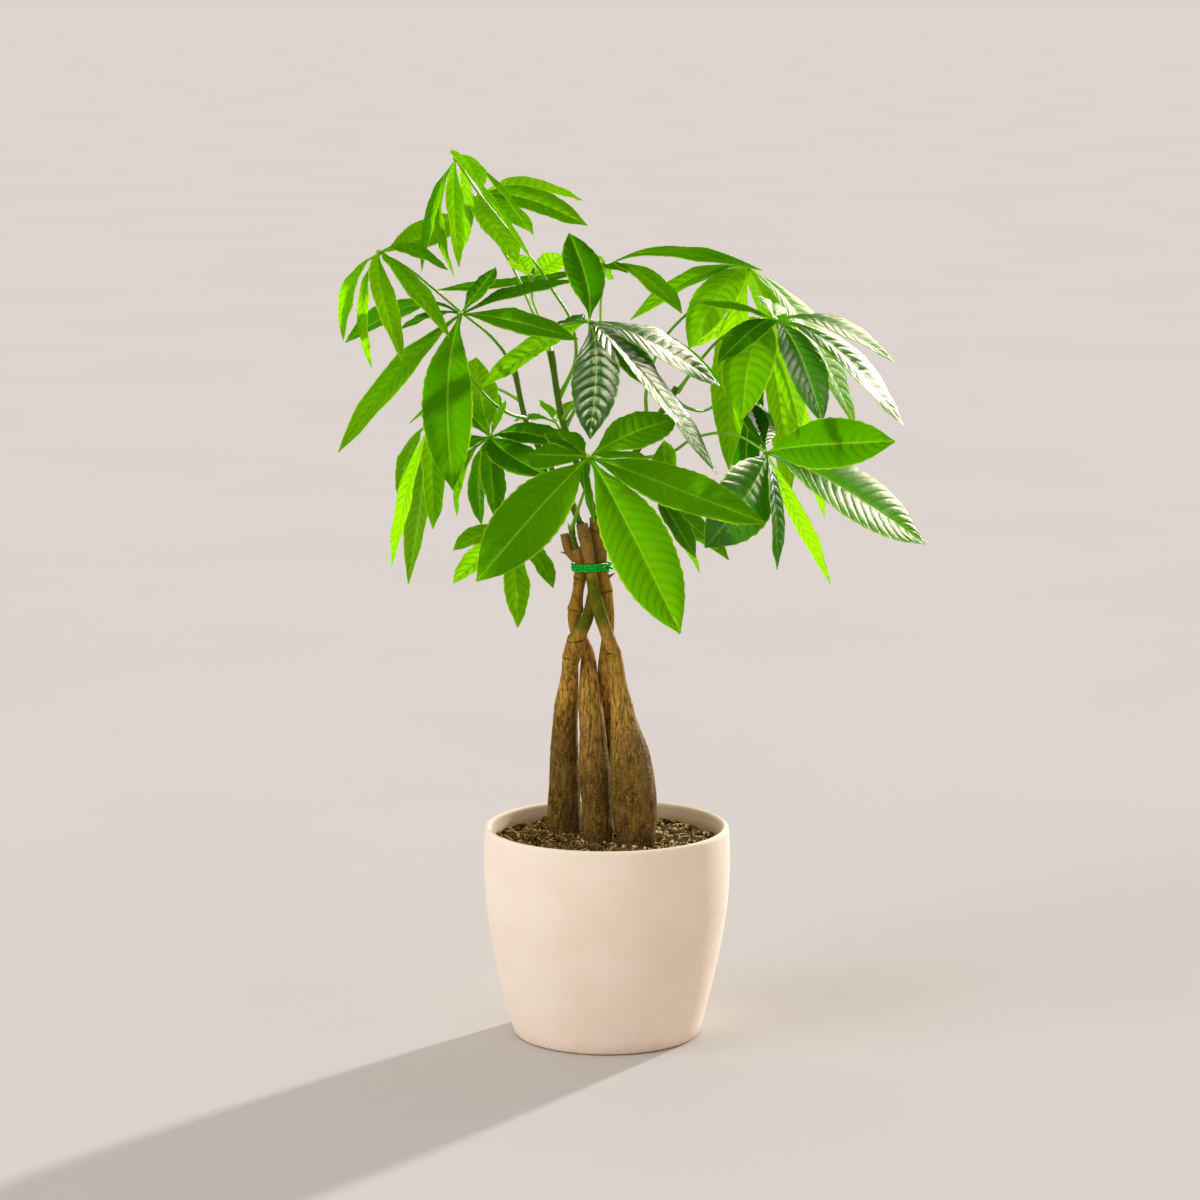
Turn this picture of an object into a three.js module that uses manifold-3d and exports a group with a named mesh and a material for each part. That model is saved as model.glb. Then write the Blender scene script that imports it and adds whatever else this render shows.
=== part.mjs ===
// Potted money tree: four braided trunks in a round pot, tied below the crown, with palmate leaves.
// Millimetres, +Z up. The origin is the centre of the pot's foot; -Y faces the viewer.
import * as THREE from 'three';
import Module from 'manifold-3d';

const wasm = await Module();
wasm.setup();
const { Manifold, Mesh } = wasm;

// Driving dimensions
const RIM_HEIGHT = 166;
const RIM_RADIUS = 95.5;
const FOOT_RADIUS = 70;
const POT_WALL = 5.5;
const POT_FLOOR = 9;
const FLOOR_RADIUS = 66;
const SOIL_HEIGHT = 152;
const SOIL_LUMP = 2.2;
const SOIL_SLOPE = 0.012;
const ROOT_DEPTH = 78;
const ROOT_TAPER = 0.8;
const BARK_RIDGE = 0.018;
const BARK_SWELL = 0.02;
const TIE_WIRE = 1.15;
const HUB_RADIUS = 3;
const HUB_FLATNESS = 0.8;
const PETIOLE_RADIUS = 1.05;
const PETIOLE_FOOT_RADIUS = 1.6;
const BLADE_THICKNESS = 0.8;
const STALK_THICKNESS = 1.7;
const STALK_SHARE = 0.3;
const BLADE_FOLD = 0.14;
const BLADE_WAVE = 1.1;
const FIT_GAP = 0.3;
const SMALLEST_FACET = 0.12;

// How many sides each round body has
const POT_SIDES = 36;
const TRUNK_SIDES = 11;
const SHOOT_SIDES = 7;
const PETIOLE_SIDES = 5;
const TIE_SIDES = 5;
const TIE_STEPS = 16;

const UPRIGHT = new THREE.Vector3(0, 0, 1);

// Tables give x and z as they appear on the upright plane y = 0 from this point, and the true depth y.
const EYE = [-5.3, -2833.5, 800.7];

function placed(x, y, z) {
  const scale = (y - EYE[1]) / (0 - EYE[1]);
  return new THREE.Vector3(EYE[0] + (x - EYE[0]) * scale, y, EYE[2] + (z - EYE[2]) * scale);
}

// Trunks: x, y, z, radius, from the soil up. The lowest ring is carried down into the soil.
const TRUNKS = {
  trunk_left: [
    [-33, 38, 166, 13.2], [-33, 36, 188, 13], [-33, 30, 224, 11], [-31.5, 20, 260, 9.4],
    [-29.2, 9, 286, 6.9], [-27.6, 1, 300, 6.4], [-24.4, -4, 312, 6.1], [-19.6, -3.4, 321, 5.4],
    [-15.2, -0.4, 330, 4.9], [-11.8, 5, 345, 4.4], [-10.4, 8.2, 358, 4], [-10.6, 7.8, 374, 3.8],
    [-9.6, 12, 385, 3.9], [-6, 13.6, 399, 4],
  ],
  trunk_middle: [
    [-6, 2, 156, 12], [-8.4, 3, 190, 11.8], [-10.5, 5, 224, 11], [-12.6, 7, 258, 9.6],
    [-14, 9.4, 286, 7.3], [-15, 12, 300, 6], [-18.6, 13, 311, 5.2], [-23.4, 11.6, 320, 5.4],
    [-25, 8, 330, 5.2], [-24, 3.6, 339, 5.7], [-22.2, 1.4, 351, 4.6], [-20.4, 0.8, 364, 4.9],
    [-19.8, 0.8, 372, 4.7], [-23.6, 1, 385, 5.5],
  ],
  trunk_right: [
    [23.5, -8, 154, 14.6], [22.3, -8, 172, 17], [20.5, -8, 191, 18.3], [17.6, -6, 224, 15.4],
    [13.2, -3, 250, 9.8], [9.4, -4, 275, 6.6], [5.8, -6.4, 300, 5.8], [1, -9.6, 315, 5.3],
    [-4.2, -11.4, 330, 5], [-8.4, -11.6, 345, 4.8], [-11, -9.6, 356, 4.4], [-12.6, -7.6, 371, 4.1],
    [-15.6, -8.4, 387, 4.8], [-19.4, -6, 404, 4.5],
  ],
  trunk_back: [
    [12, 48, 168, 11.5], [8, 42, 191, 10.4], [3.4, 33, 224, 9], [0, 25, 256, 7.8],
    [-1, 17, 282, 6.2], [-1, 9.6, 300, 5.1], [0.6, 4, 315, 4.7], [0.8, -0.2, 330, 4.9],
    [-0.4, -0.2, 345, 5.4], [-1.8, 0, 356, 5.4], [-4.2, 0, 367, 4.9], [-4.8, 0, 375, 4.8], [-6, 1.2, 385, 6],
    [-7.6, 2, 396, 5.8], [-9, 1, 409, 5],
  ],
};

// The short cut-off branch beside the top of the middle trunk.
const STUB = [[-24, 0.6, 376, 3.6], [-29.6, 0, 383, 3.4], [-33, 0, 396, 3.4]];

// Shoots: each stands on one cut trunk top.
const SHOOTS = {
  shoot_front: {
    on: 'trunk_middle',
    path: [[-24.2, 0, 385, 2.6], [-26.2, -0.4, 393, 2.7], [-27.4, -1, 402, 2.5]],
  },
  shoot_left: {
    on: 'trunk_right',
    path: [
      [-20, -4, 404, 3], [-32, 6, 430, 2.7], [-50, 20, 460, 2.5], [-62, 28, 484, 2.3], [-71, 32, 524, 2],
    ],
  },
  shoot_middle: {
    on: 'trunk_left',
    path: [
      [-5, 11, 399, 3], [-16, 15, 432, 2.8], [-28, 17, 465, 2.7], [-35, 17, 488, 2.7], [-43, 17, 538, 2.4],
    ],
  },
  shoot_right: {
    on: 'trunk_back',
    path: [
      [-9, 0, 409, 3.2], [-2, 5, 424, 2.9], [12, 11, 444, 2.8], [32, 16, 475, 2.7], [54, 18, 510, 2.4],
    ],
  },
};

// Leaves: hub, then the petiole's way to its shoot, then the leaflets.
// tip: x, depth measured from the hub, z. seen: width as seen from the front. wide: true width.
// bow: rise of the midrib's arch. arc: the part of it seen from the front, to the left of the way out.
// rolled: 1 where the blade is turned over towards its lower side.
const LEAVES = {
  "leaf_01": {
    "hub": [-115, 10, 685], "on": "shoot_middle",
    "petiole": [[-101, 0, 663], [-80, -12, 636], [-54, 4, 604], [-42, 20, 585],
      [-28, 22, 562], [-24, 24, 532], [-37, 17, 501]],
    "leaflets": [
      {"tip": [-113, -45, 602], "seen": 13, "wide": 26, "bow": 14, "arc": -2.5},
      {"tip": [-111, 36, 613], "seen": 10, "wide": 24, "bow": 12, "arc": 6},
      {"tip": [-142, -22, 599], "seen": 8, "wide": 24, "bow": 12, "arc": -5.5},
      {"tip": [-117, -5, 594.5], "seen": 7, "wide": 22, "bow": 14, "arc": -12},
      {"tip": [-95, -70, 662], "seen": 12, "wide": 26, "bow": 10, "arc": 4.8},
      {"tip": [-56, -70, 626], "seen": 3, "wide": 12, "bow": 12, "arc": 8},
      {"tip": [-55, -42, 604], "seen": 4, "wide": 12, "bow": 8, "arc": 2.5},
    ],
  },
  "leaf_02": {
    "hub": [-174, -30, 614], "on": "shoot_left",
    "petiole": [[-152, -28, 601], [-133, -24, 586], [-112, -18, 568],
      [-92, -8, 552], [-79, 12, 537], [-71, 32, 520]],
    "leaflets": [
      {"tip": [-117, 126, 643], "seen": 22, "wide": 30, "bow": 8, "arc": -5},
      {"tip": [-121.5, -15, 600], "seen": 9, "wide": 26, "bow": 12, "arc": 7.4},
      {"tip": [-120.5, -82, 548], "seen": 13, "wide": 30, "bow": 14, "arc": 3},
      {"tip": [-157, -80, 530], "seen": 17, "wide": 30, "bow": 14, "arc": -4.3},
      {"tip": [-181, -15, 524], "seen": 8, "wide": 28, "bow": 12, "arc": -9},
      {"tip": [-202.5, -20, 546], "seen": 10, "wide": 28, "bow": 12, "arc": -10},
    ],
  },
  "leaf_03": {
    "hub": [-112, -70, 567], "on": "shoot_left",
    "petiole": [[-114, -48, 545], [-106, -22, 520], [-90, -8, 500], [-76, 6, 490], [-63, 28, 486]],
    "leaflets": [
      {"tip": [-85, 30, 602], "seen": 12, "wide": 18, "bow": 3, "arc": -0.5},
      {"tip": [-22, 85, 592], "seen": 9, "wide": 32, "bow": 10, "arc": 3.5},
      {"tip": [-22, -15, 547], "seen": 17, "wide": 32, "bow": 12, "arc": 2.5},
      {"tip": [-119, -30, 430.5], "seen": 38, "wide": 39, "bow": 12, "arc": -7},
      {"tip": [-207, 15, 460], "seen": 18, "wide": 36, "bow": 12, "arc": -5},
      {"tip": [-200.5, 75, 544.5], "seen": 11, "wide": 34, "bow": 16, "arc": -15},
      {"tip": [-158, 50, 555], "seen": 4, "wide": 18, "bow": 5, "arc": -4},
    ],
  },
  "leaf_04": {
    "hub": [-13, -50, 561], "on": "shoot_middle",
    "petiole": [[-14, -38, 540], [-18, -12, 512], [-34, 17, 485]],
    "leaflets": [
      {"tip": [-29, 45, 628], "seen": 29, "wide": 31, "bow": 5, "arc": -4.5},
      {"tip": [-13, -50, 470], "seen": 36, "wide": 38, "bow": 10, "arc": 4.8},
      {"tip": [44, -34, 505], "seen": 22, "wide": 34, "bow": 12, "arc": 1},
      {"tip": [85, -45, 443], "seen": 14, "wide": 32, "bow": 20, "arc": 6},
      {"tip": [87, 0, 511], "seen": 19, "wide": 34, "bow": 14, "arc": 6.5},
      {"tip": [-35, 40, 560], "seen": 7, "wide": 22, "bow": 4, "arc": -1},
      {"tip": [-96, 75, 510], "seen": 15, "wide": 32, "bow": 12, "arc": -5},
      {"tip": [93, 45, 509.5], "seen": 14, "wide": 28, "bow": 12, "arc": 8},
    ],
  },
  "leaf_05": {
    "hub": [-13.5, -120, 456.5], "on": "shoot_front",
    "petiole": [[-14, -92, 444], [-17, -64, 431], [-22, -30, 416], [-27.2, -1, 400]],
    "leaflets": [
      {"tip": [-101, -30, 359], "seen": 45, "wide": 48, "bow": 12, "arc": -1.7},
      {"tip": [57, -25, 318], "seen": 48, "wide": 51, "bow": 12, "arc": 2},
      {"tip": [123, -45, 404], "seen": 31, "wide": 42, "bow": 14, "arc": 0.5},
      {"tip": [54, 40, 486], "seen": 28, "wide": 34, "bow": 6, "arc": 3},
      {"tip": [-60, 45, 458], "seen": 23, "wide": 30, "bow": 6, "arc": 0},
      {"tip": [-40, 60, 478], "seen": 18, "wide": 28, "bow": 5, "arc": 2},
      {"tip": [33, -50, 455], "seen": 5, "wide": 24, "bow": 6, "arc": 1},
      {"tip": [-10, 55, 405], "seen": 8, "wide": 22, "bow": 10, "arc": -5},
    ],
  },
  "leaf_06": {
    "hub": [108.7, 70, 602], "on": "shoot_right",
    "petiole": [[85, 60, 588], [62, 45, 567], [46, 35, 550],
      [36, 28, 530], [30, 21, 505], [32, 16, 476]],
    "leaflets": [
      {"tip": [18, -40, 562], "seen": 12, "wide": 34, "bow": 16, "arc": -10},
      {"tip": [63, -85, 540], "seen": 29, "wide": 36, "bow": 14, "arc": -7},
      {"tip": [94, -20, 446], "seen": 28, "wide": 40, "bow": 14, "arc": -6},
      {"tip": [150, -40, 500], "seen": 14, "wide": 34, "bow": 12, "arc": 6},
      {"tip": [192, -38, 478], "seen": 20, "wide": 36, "bow": 20, "arc": 12},
      {"tip": [120, 90, 560], "seen": 14, "wide": 28, "bow": 6, "arc": 2},
    ],
  },
  "leaf_07": {
    "hub": [128.6, -25, 562], "on": "shoot_right",
    "petiole": [[108, -12, 557], [87, 4, 547], [72, 13, 531], [54, 18, 506]],
    "leaflets": [
      {"tip": [127, 55, 575], "seen": 20, "wide": 24, "bow": 4, "arc": 1},
      {"tip": [70, -20, 574.5], "seen": 5, "wide": 26, "bow": 6, "arc": -2.5},
      {"tip": [85.5, -55, 529], "seen": 19, "wide": 30, "bow": 10, "arc": -4},
      {"tip": [104, -75, 485], "seen": 38, "wide": 40, "bow": 14, "arc": -9},
      {"tip": [166, -60, 482], "seen": 28, "wide": 34, "bow": 14, "arc": 6},
      {"tip": [150, 0, 480], "seen": 19, "wide": 30, "bow": 10, "arc": -1},
      {"tip": [228, -45, 481], "seen": 16, "wide": 36, "bow": 16, "arc": 12.5},
      {"tip": [220.5, -35, 530], "seen": 11, "wide": 34, "bow": 14, "arc": 11},
    ],
  },
  "leaf_08": {
    "hub": [123, -90, 460], "on": "shoot_right",
    "petiole": [[97, -58, 474], [68, -22, 471], [48, 4, 459], [20, 14, 454]],
    "leaflets": [
      {"tip": [222, -40, 468], "seen": 38, "wide": 41, "bow": 12, "arc": 2},
      {"tip": [246.5, -10, 388], "seen": 35, "wide": 42, "bow": 14, "arc": 5},
      {"tip": [76, -50, 385.5], "seen": 45, "wide": 52, "bow": 12, "arc": 5, "rolled": 1},
      {"tip": [132, -30, 368], "seen": 10, "wide": 30, "bow": 10, "arc": 3},
      {"tip": [115, 80, 500], "seen": 20, "wide": 32, "bow": 6, "arc": 1},
      {"tip": [97, 70, 507], "seen": 20, "wide": 34, "bow": 8, "arc": -2},
      {"tip": [173.5, 60, 357], "seen": 12, "wide": 30, "bow": 12, "arc": -0.5},
    ],
  },
  "leaf_09": {
    "hub": [-90, -5, 472], "on": "shoot_left",
    "petiole": [[-76, 12, 475], [-56, 24, 471]],
    "leaflets": [
      {"tip": [-27, -40, 465], "seen": 16, "wide": 28, "bow": 8, "arc": 5.5},
      {"tip": [-44.5, -60, 440], "seen": 26, "wide": 32, "bow": 8, "arc": -3},
      {"tip": [-86, -50, 408], "seen": 19, "wide": 30, "bow": 8, "arc": -1},
      {"tip": [-97, 40, 403], "seen": 13, "wide": 26, "bow": 10, "arc": -6.5},
      {"tip": [-116, -10, 410], "seen": 8, "wide": 24, "bow": 12, "arc": -10},
      {"tip": [-130, -30, 456], "seen": 10, "wide": 20, "bow": 5, "arc": -2},
      {"tip": [-111, 40, 496.5], "seen": 18, "wide": 24, "bow": 4, "arc": 0},
      {"tip": [-100, 70, 533], "seen": 26, "wide": 30, "bow": 5, "arc": 2},
      {"tip": [-78, -20, 500], "seen": 6, "wide": 10, "bow": 1, "arc": 0},
    ],
  },
  "leaf_10": {
    "hub": [-1.5, 80, 603], "on": "shoot_middle",
    "petiole": [[-4.5, 66, 577], [-6, 46, 542], [-18, 28, 506], [-32, 17, 479]],
    "leaflets": [
      {"tip": [118.5, -50, 600], "seen": 9, "wide": 34, "bow": 16, "arc": 11.5},
      {"tip": [57.5, -100, 567], "seen": 11, "wide": 30, "bow": 12, "arc": 9.5},
      {"tip": [-130, 40, 585], "seen": 7, "wide": 32, "bow": 12, "arc": 4},
      {"tip": [16, -60, 598], "seen": 5, "wide": 18, "bow": 5, "arc": 1},
      {"tip": [0, 75, 594], "seen": 8, "wide": 20, "bow": 4, "arc": 0},
    ],
  },
  "leaf_11": {
    "hub": [-102, 80, 656], "on": "shoot_middle",
    "petiole": [[-86, 78, 626], [-70, 68, 598], [-57, 52, 568], [-49, 34, 548], [-41.6, 17, 527]],
    "leaflets": [
      {"tip": [-18, 40, 653], "seen": 12, "wide": 32, "bow": 14, "arc": 10},
      {"tip": [-15, -30, 634], "seen": 18, "wide": 32, "bow": 12, "arc": 8.5},
      {"tip": [-56, -70, 628], "seen": 12, "wide": 26, "bow": 8, "arc": 5},
      {"tip": [-68, -90, 605], "seen": 21, "wide": 30, "bow": 10, "arc": 2},
      {"tip": [-111, 110, 622], "seen": 10, "wide": 24, "bow": 6, "arc": 0},
    ],
  },
  "leaf_12": {
    "hub": [-58, 55, 594], "on": "shoot_middle",
    "petiole": [[-57, 50, 578], [-53, 42, 567], [-46, 27, 550], [-42.8, 17, 536]],
    "leaflets": [
      {"tip": [-70.5, -32, 612], "seen": 17, "wide": 20, "bow": 3, "arc": 0},
      {"tip": [-34, -32, 612], "seen": 18, "wide": 20, "bow": 3, "arc": 0},
      {"tip": [-50, 22, 602], "seen": 10, "wide": 20, "bow": 4, "arc": 0},
    ],
  },
  "leaf_13": {
    "hub": [-93, 75, 512], "on": "shoot_left",
    "petiole": [[-80, 60, 507], [-66, 30, 499]],
    "leaflets": [
      {"tip": [-82, 12, 493], "seen": 8, "wide": 14, "bow": 2, "arc": 0.5},
      {"tip": [-108, 20, 500], "seen": 8, "wide": 16, "bow": 2, "arc": 0},
      {"tip": [-96, 36, 523], "seen": 10, "wide": 16, "bow": 2, "arc": 0},
      {"tip": [-152.5, -10, 482], "seen": 4, "wide": 16, "bow": 8, "arc": -6},
    ],
  },
  "leaf_14": {
    "hub": [-40, 48, 484], "on": "shoot_middle",
    "petiole": [[-37, 34, 479], [-31, 17, 472]],
    "leaflets": [
      {"tip": [-72, 14, 484], "seen": 4, "wide": 16, "bow": 6, "arc": -3},
      {"tip": [-25, 26, 500], "seen": 10, "wide": 16, "bow": 2, "arc": 0},
      {"tip": [-48, 45, 498], "seen": 8, "wide": 16, "bow": 4, "arc": 0},
    ],
  },
  "leaf_15": {
    "hub": [-136, 52, 482], "on": "shoot_left",
    "petiole": [[-112, 52, 484], [-84, 46, 470], [-48, 19, 456]],
    "leaflets": [
      {"tip": [-161.5, 50, 426], "seen": 9, "wide": 24, "bow": 10, "arc": -6.5},
      {"tip": [-167, -20, 371], "seen": 11, "wide": 30, "bow": 12, "arc": -3.5},
      {"tip": [-154, 20, 357], "seen": 18, "wide": 34, "bow": 12, "arc": 0},
      {"tip": [-134.5, -50, 400], "seen": 18, "wide": 30, "bow": 10, "arc": 0.5},
      {"tip": [-131, 70, 430], "seen": 12, "wide": 28, "bow": 8, "arc": 0},
      {"tip": [-120, 60, 470], "seen": 5, "wide": 16, "bow": 5, "arc": 0},
    ],
  },
  "leaf_16": {
    "hub": [-70, 15, 394], "on": "shoot_left",
    "petiole": [[-64, 17, 414], [-50, 14, 425], [-32, 6, 430]],
    "leaflets": [
      {"tip": [-119, -50, 383.5], "seen": 13, "wide": 26, "bow": 10, "arc": -8},
      {"tip": [-119, 40, 357.5], "seen": 17, "wide": 28, "bow": 8, "arc": -4.4},
      {"tip": [-69, -40, 322.5], "seen": 20, "wide": 30, "bow": 8, "arc": -1.5},
      {"tip": [-41.5, -45, 354], "seen": 14, "wide": 26, "bow": 8, "arc": 4},
      {"tip": [-57, 60, 399], "seen": 12, "wide": 26, "bow": 6, "arc": 0},
    ],
  },
  "leaf_17": {
    "hub": [117, 100, 562], "on": "shoot_right",
    "petiole": [[110, 96, 530], [96, 92, 508], [78, 78, 493], [62, 46, 494], [51, 17.5, 502]],
    "leaflets": [
      {"tip": [141, -20, 423], "seen": 23, "wide": 38, "bow": 14, "arc": 5},
      {"tip": [168.5, 10, 409], "seen": 18, "wide": 36, "bow": 14, "arc": 3},
      {"tip": [63, 70, 540], "seen": 12, "wide": 30, "bow": 10, "arc": -6},
      {"tip": [160, 80, 545], "seen": 12, "wide": 32, "bow": 10, "arc": 2},
      {"tip": [105, -20, 405], "seen": 24, "wide": 32, "bow": 10, "arc": -2},
    ],
  },
  "leaf_18": {
    "hub": [38, -30, 428], "on": "shoot_right",
    "petiole": [[35, -16, 440], [28, 0, 450], [14, 11, 446]],
    "leaflets": [
      {"tip": [68.6, 20, 378], "seen": 16, "wide": 26, "bow": 6, "arc": 1},
      {"tip": [94.5, 50, 376], "seen": 16, "wide": 30, "bow": 8, "arc": 1},
      {"tip": [44, -25, 469], "seen": 19, "wide": 22, "bow": 3, "arc": -3},
      {"tip": [72, 64, 366], "seen": 5, "wide": 24, "bow": 6, "arc": 1},
    ],
  },
};

// Half-width of a blade along its length, as a share of the greatest half-width.
const BLADE_OUTLINE = [[0, 0.05], [0.1, 0.18], [0.32, 0.8], [0.57, 1], [0.83, 0.62], [1, 0.03]];

// A solid from its corners and triangles, turned right side out
function solid(points, triangles) {
  const vertProperties = new Float32Array(points.flatMap((p) => [p.x, p.y, p.z]));
  const made = (faces) => {
    const triVerts = new Uint32Array(faces.flat());
    return new Manifold(new Mesh({ numProp: 3, vertProperties, triVerts }));
  };
  const body = made(triangles);
  return body.volume() < 0 ? made(triangles.map(([a, b, c]) => [a, c, b])) : body;
}

// A skin over rows of points, each a ring; the end rings are capped, or joined where the body is a loop.
function loft(rows, loop = false) {
  const sides = rows[0].length;
  const triangles = [];
  const spans = loop ? rows.length : rows.length - 1;
  for (let i = 0; i < spans; i += 1) {
    const here = i * sides;
    const next = ((i + 1) % rows.length) * sides;
    for (let j = 0; j < sides; j += 1) {
      const k = (j + 1) % sides;
      triangles.push([here + j, here + k, next + k], [here + j, next + k, next + j]);
    }
  }
  if (!loop) {
    const last = (rows.length - 1) * sides;
    for (let j = 1; j + 1 < sides; j += 1) {
      triangles.push([0, j + 1, j], [last, last + j, last + j + 1]);
    }
  }
  return solid(rows.flat(), triangles);
}

// One ring of points, by a formula of the angle
function ring(sides, point) {
  return Array.from({ length: sides }, (_, j) => point((j / sides) * Math.PI * 2, j));
}

// A body turned about the pot's axis from a profile of radius and height
function turned(profile) {
  return loft(profile.map(([r, z]) => ring(POT_SIDES, (angle) => (
    new THREE.Vector3(Math.cos(angle) * r, Math.sin(angle) * r, z)
  ))));
}

// Stations along a smooth line through a table's rows of x, y, z and radius
function stations(path, perSpan = 1) {
  const points = path.map(([x, y, z]) => placed(x, y, z));
  const spline = new THREE.CatmullRomCurve3(points, false, 'centripetal');
  const spans = path.length - 1;
  const count = spans * perSpan;
  return Array.from({ length: count + 1 }, (_, i) => {
    const along = i / count;
    const k = Math.min(Math.floor(i / perSpan), spans - 1);
    const radius = path[k][3] + (path[k + 1][3] - path[k][3]) * (along * spans - k);
    return { at: spline.getPoint(along), tangent: spline.getTangent(along), radius };
  });
}

// A round body along stations. grow widens it; rough(i, j) scales single points.
function sweep(line, sides, grow = 0, rough = () => 1) {
  let across = new THREE.Vector3(1, 0, 0);
  return loft(line.map((station, i) => {
    across = across.clone().addScaledVector(station.tangent, -across.dot(station.tangent)).normalize();
    const other = new THREE.Vector3().crossVectors(station.tangent, across);
    return ring(sides, (angle, j) => {
      const r = station.radius * rough(i, j) + grow;
      return station.at.clone().addScaledVector(across, Math.cos(angle) * r)
        .addScaledVector(other, Math.sin(angle) * r);
    });
  }));
}

// Pot: the outside from the foot to the lip, and the inside from the lip to the floor
const POT_OUTSIDE = [
  [FOOT_RADIUS, 0], [73.4, 2.4], [75.2, 8], [78, 19], [84, 43], [90.5, 75], [95, 106], [96.5, 140],
  [96, 156], [RIM_RADIUS, 163.6], [93.4, RIM_HEIGHT],
];
const POT_INSIDE = [
  [91.2, 165],
  [90.4, 162],
  ...[106, 75, 43, 19].map((z) => [radiusAt(POT_OUTSIDE, z) - POT_WALL, z]),
  [FLOOR_RADIUS, POT_FLOOR],
];

function radiusAt(profile, z) {
  const k = profile.findIndex(([, z0], i) => {
    const z1 = profile[Math.min(i + 1, profile.length - 1)][1];
    return (z - z0) * (z - z1) <= 0;
  });
  const [r0, z0] = profile[k];
  const [r1, z1] = profile[k + 1];
  return r0 + ((r1 - r0) * (z - z0)) / (z1 - z0);
}

function potSolid() {
  return turned([...POT_OUTSIDE, ...POT_INSIDE]);
}

// Soil: fills the pot up to a lumpy top
function lump(x, y) {
  const broad = Math.sin(x * 0.071 + 1.3) * Math.cos(y * 0.063 - 0.4);
  const fine = Math.sin(x * 0.21 + y * 0.13) * Math.cos(y * 0.19 - x * 0.07);
  return SOIL_LUMP * (0.6 * broad + 0.5 * fine) + (y - x) * SOIL_SLOPE;
}

function soilSolid() {
  const filled = (z) => radiusAt(POT_INSIDE, z) - FIT_GAP;
  const walls = [POT_FLOOR + FIT_GAP, 19, 43, 75, 106].map((z) => ring(POT_SIDES, (angle) => (
    new THREE.Vector3(Math.cos(angle) * filled(z), Math.sin(angle) * filled(z), z)
  )));
  const top = [1, 0.78, 0.52, 0.24, 0.06].map((share) => ring(POT_SIDES, (angle) => {
    const x = Math.cos(angle) * filled(SOIL_HEIGHT) * share;
    const y = Math.sin(angle) * filled(SOIL_HEIGHT) * share;
    return new THREE.Vector3(x, y, SOIL_HEIGHT + lump(x, y));
  }));
  return loft([...walls, ...top]);
}

// Trunks: level at the top, and carried straight down to a narrower foot in the soil
function trunkLine(path) {
  const line = stations(path);
  line[0].tangent = UPRIGHT;
  line[line.length - 1].tangent = UPRIGHT;
  const foot = line[0].at.clone().setZ(ROOT_DEPTH);
  return [{ at: foot, tangent: UPRIGHT, radius: line[0].radius * ROOT_TAPER }, ...line];
}

function bark(seed) {
  return (i, j) => {
    const ridge = Math.sin(j * 2.4 + seed) * BARK_RIDGE;
    const swell = Math.sin(i * 1.9 + j * 0.9 + seed * 2.3) * BARK_SWELL;
    return i < 1 ? 1 : 1 + ridge + swell;
  };
}

function trunkSolid(name, seed, grow) {
  const trunk = sweep(trunkLine(TRUNKS[name]), TRUNK_SIDES, grow, bark(seed));
  return name === 'trunk_middle' ? trunk.add(sweep(stations(STUB), SHOOT_SIDES, grow)) : trunk;
}

// Shoots: each starts a gap above its trunk
function shootSolid(name, grow) {
  const line = stations(SHOOTS[name].path);
  line[0].tangent = UPRIGHT;
  line[0].at.z += FIT_GAP - grow;
  return sweep(line, SHOOT_SIDES, grow);
}

// The way that a blade's upper face looks, from its true and its seen width, and its midrib's arch
function bladeFacing(hub, along, leaflet) {
  const toEye = new THREE.Vector3(...EYE).sub(hub).normalize();
  const across = new THREE.Vector3().crossVectors(along, toEye).normalize();
  const front = new THREE.Vector3().crossVectors(across, along).normalize();
  const level = new THREE.Vector3().crossVectors(along, UPRIGHT).normalize();
  const upward = new THREE.Vector3().crossVectors(level, along).normalize();
  const share = Math.min(leaflet.seen / leaflet.wide, 1);
  const rest = Math.sqrt(1 - share * share);
  const choices = (leaflet.rolled ? [1] : [1, -1]).flatMap((a) => [1, -1].map((b) => (
    front.clone().multiplyScalar(a * share).addScaledVector(across, b * rest)
  )));
  const worth = (choice) => choice.dot(upward) * (leaflet.rolled ? -1 : 1);
  const facing = choices.reduce((best, other) => (worth(other) > worth(best) ? other : best));
  const depth = Math.sqrt(Math.max(leaflet.bow ** 2 - leaflet.arc ** 2, 0)) * Math.sign(facing.dot(front));
  const arch = across.clone().multiplyScalar(-leaflet.arc).addScaledVector(front, depth);
  return { facing, arch };
}

// Blades: an arched, folded and waved sheet, thicker towards its stalk
function bladeSolid(hubTable, leaflet) {
  const hub = placed(...hubTable);
  const tip = placed(leaflet.tip[0], hubTable[1] + leaflet.tip[1], leaflet.tip[2]);
  const along = tip.clone().sub(hub).normalize();
  const root = hub.clone().addScaledVector(along, HUB_RADIUS / 2);
  const chord = tip.clone().sub(root);
  const { facing, arch } = bladeFacing(hub, along, leaflet);
  const midrib = (s) => root.clone().addScaledVector(chord, s)
    .addScaledVector(arch, Math.sin(Math.PI * s ** 0.8));
  return loft(BLADE_OUTLINE.map(([s, share], i) => {
    const tangent = midrib(Math.min(s + 0.02, 1)).sub(midrib(Math.max(s - 0.02, 0))).normalize();
    const side = new THREE.Vector3().crossVectors(tangent, facing).normalize();
    const up = new THREE.Vector3().crossVectors(side, tangent).normalize();
    const half = (share * leaflet.wide) / 2;
    const thick = BLADE_THICKNESS + (STALK_THICKNESS - BLADE_THICKNESS) * Math.max(0, 1 - s / STALK_SHARE);
    const wave = share > STALK_SHARE ? BLADE_WAVE * (i % 2 === 0 ? 1 : -1) : 0;
    const at = (edge, face) => midrib(s).addScaledVector(side, edge * half)
      .addScaledVector(up, Math.abs(edge) * half * BLADE_FOLD + edge * wave + (face * thick) / 2);
    return [at(0, 1), at(1, 1), at(1, -1), at(0, -1), at(-1, -1), at(-1, 1)];
  }));
}

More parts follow.
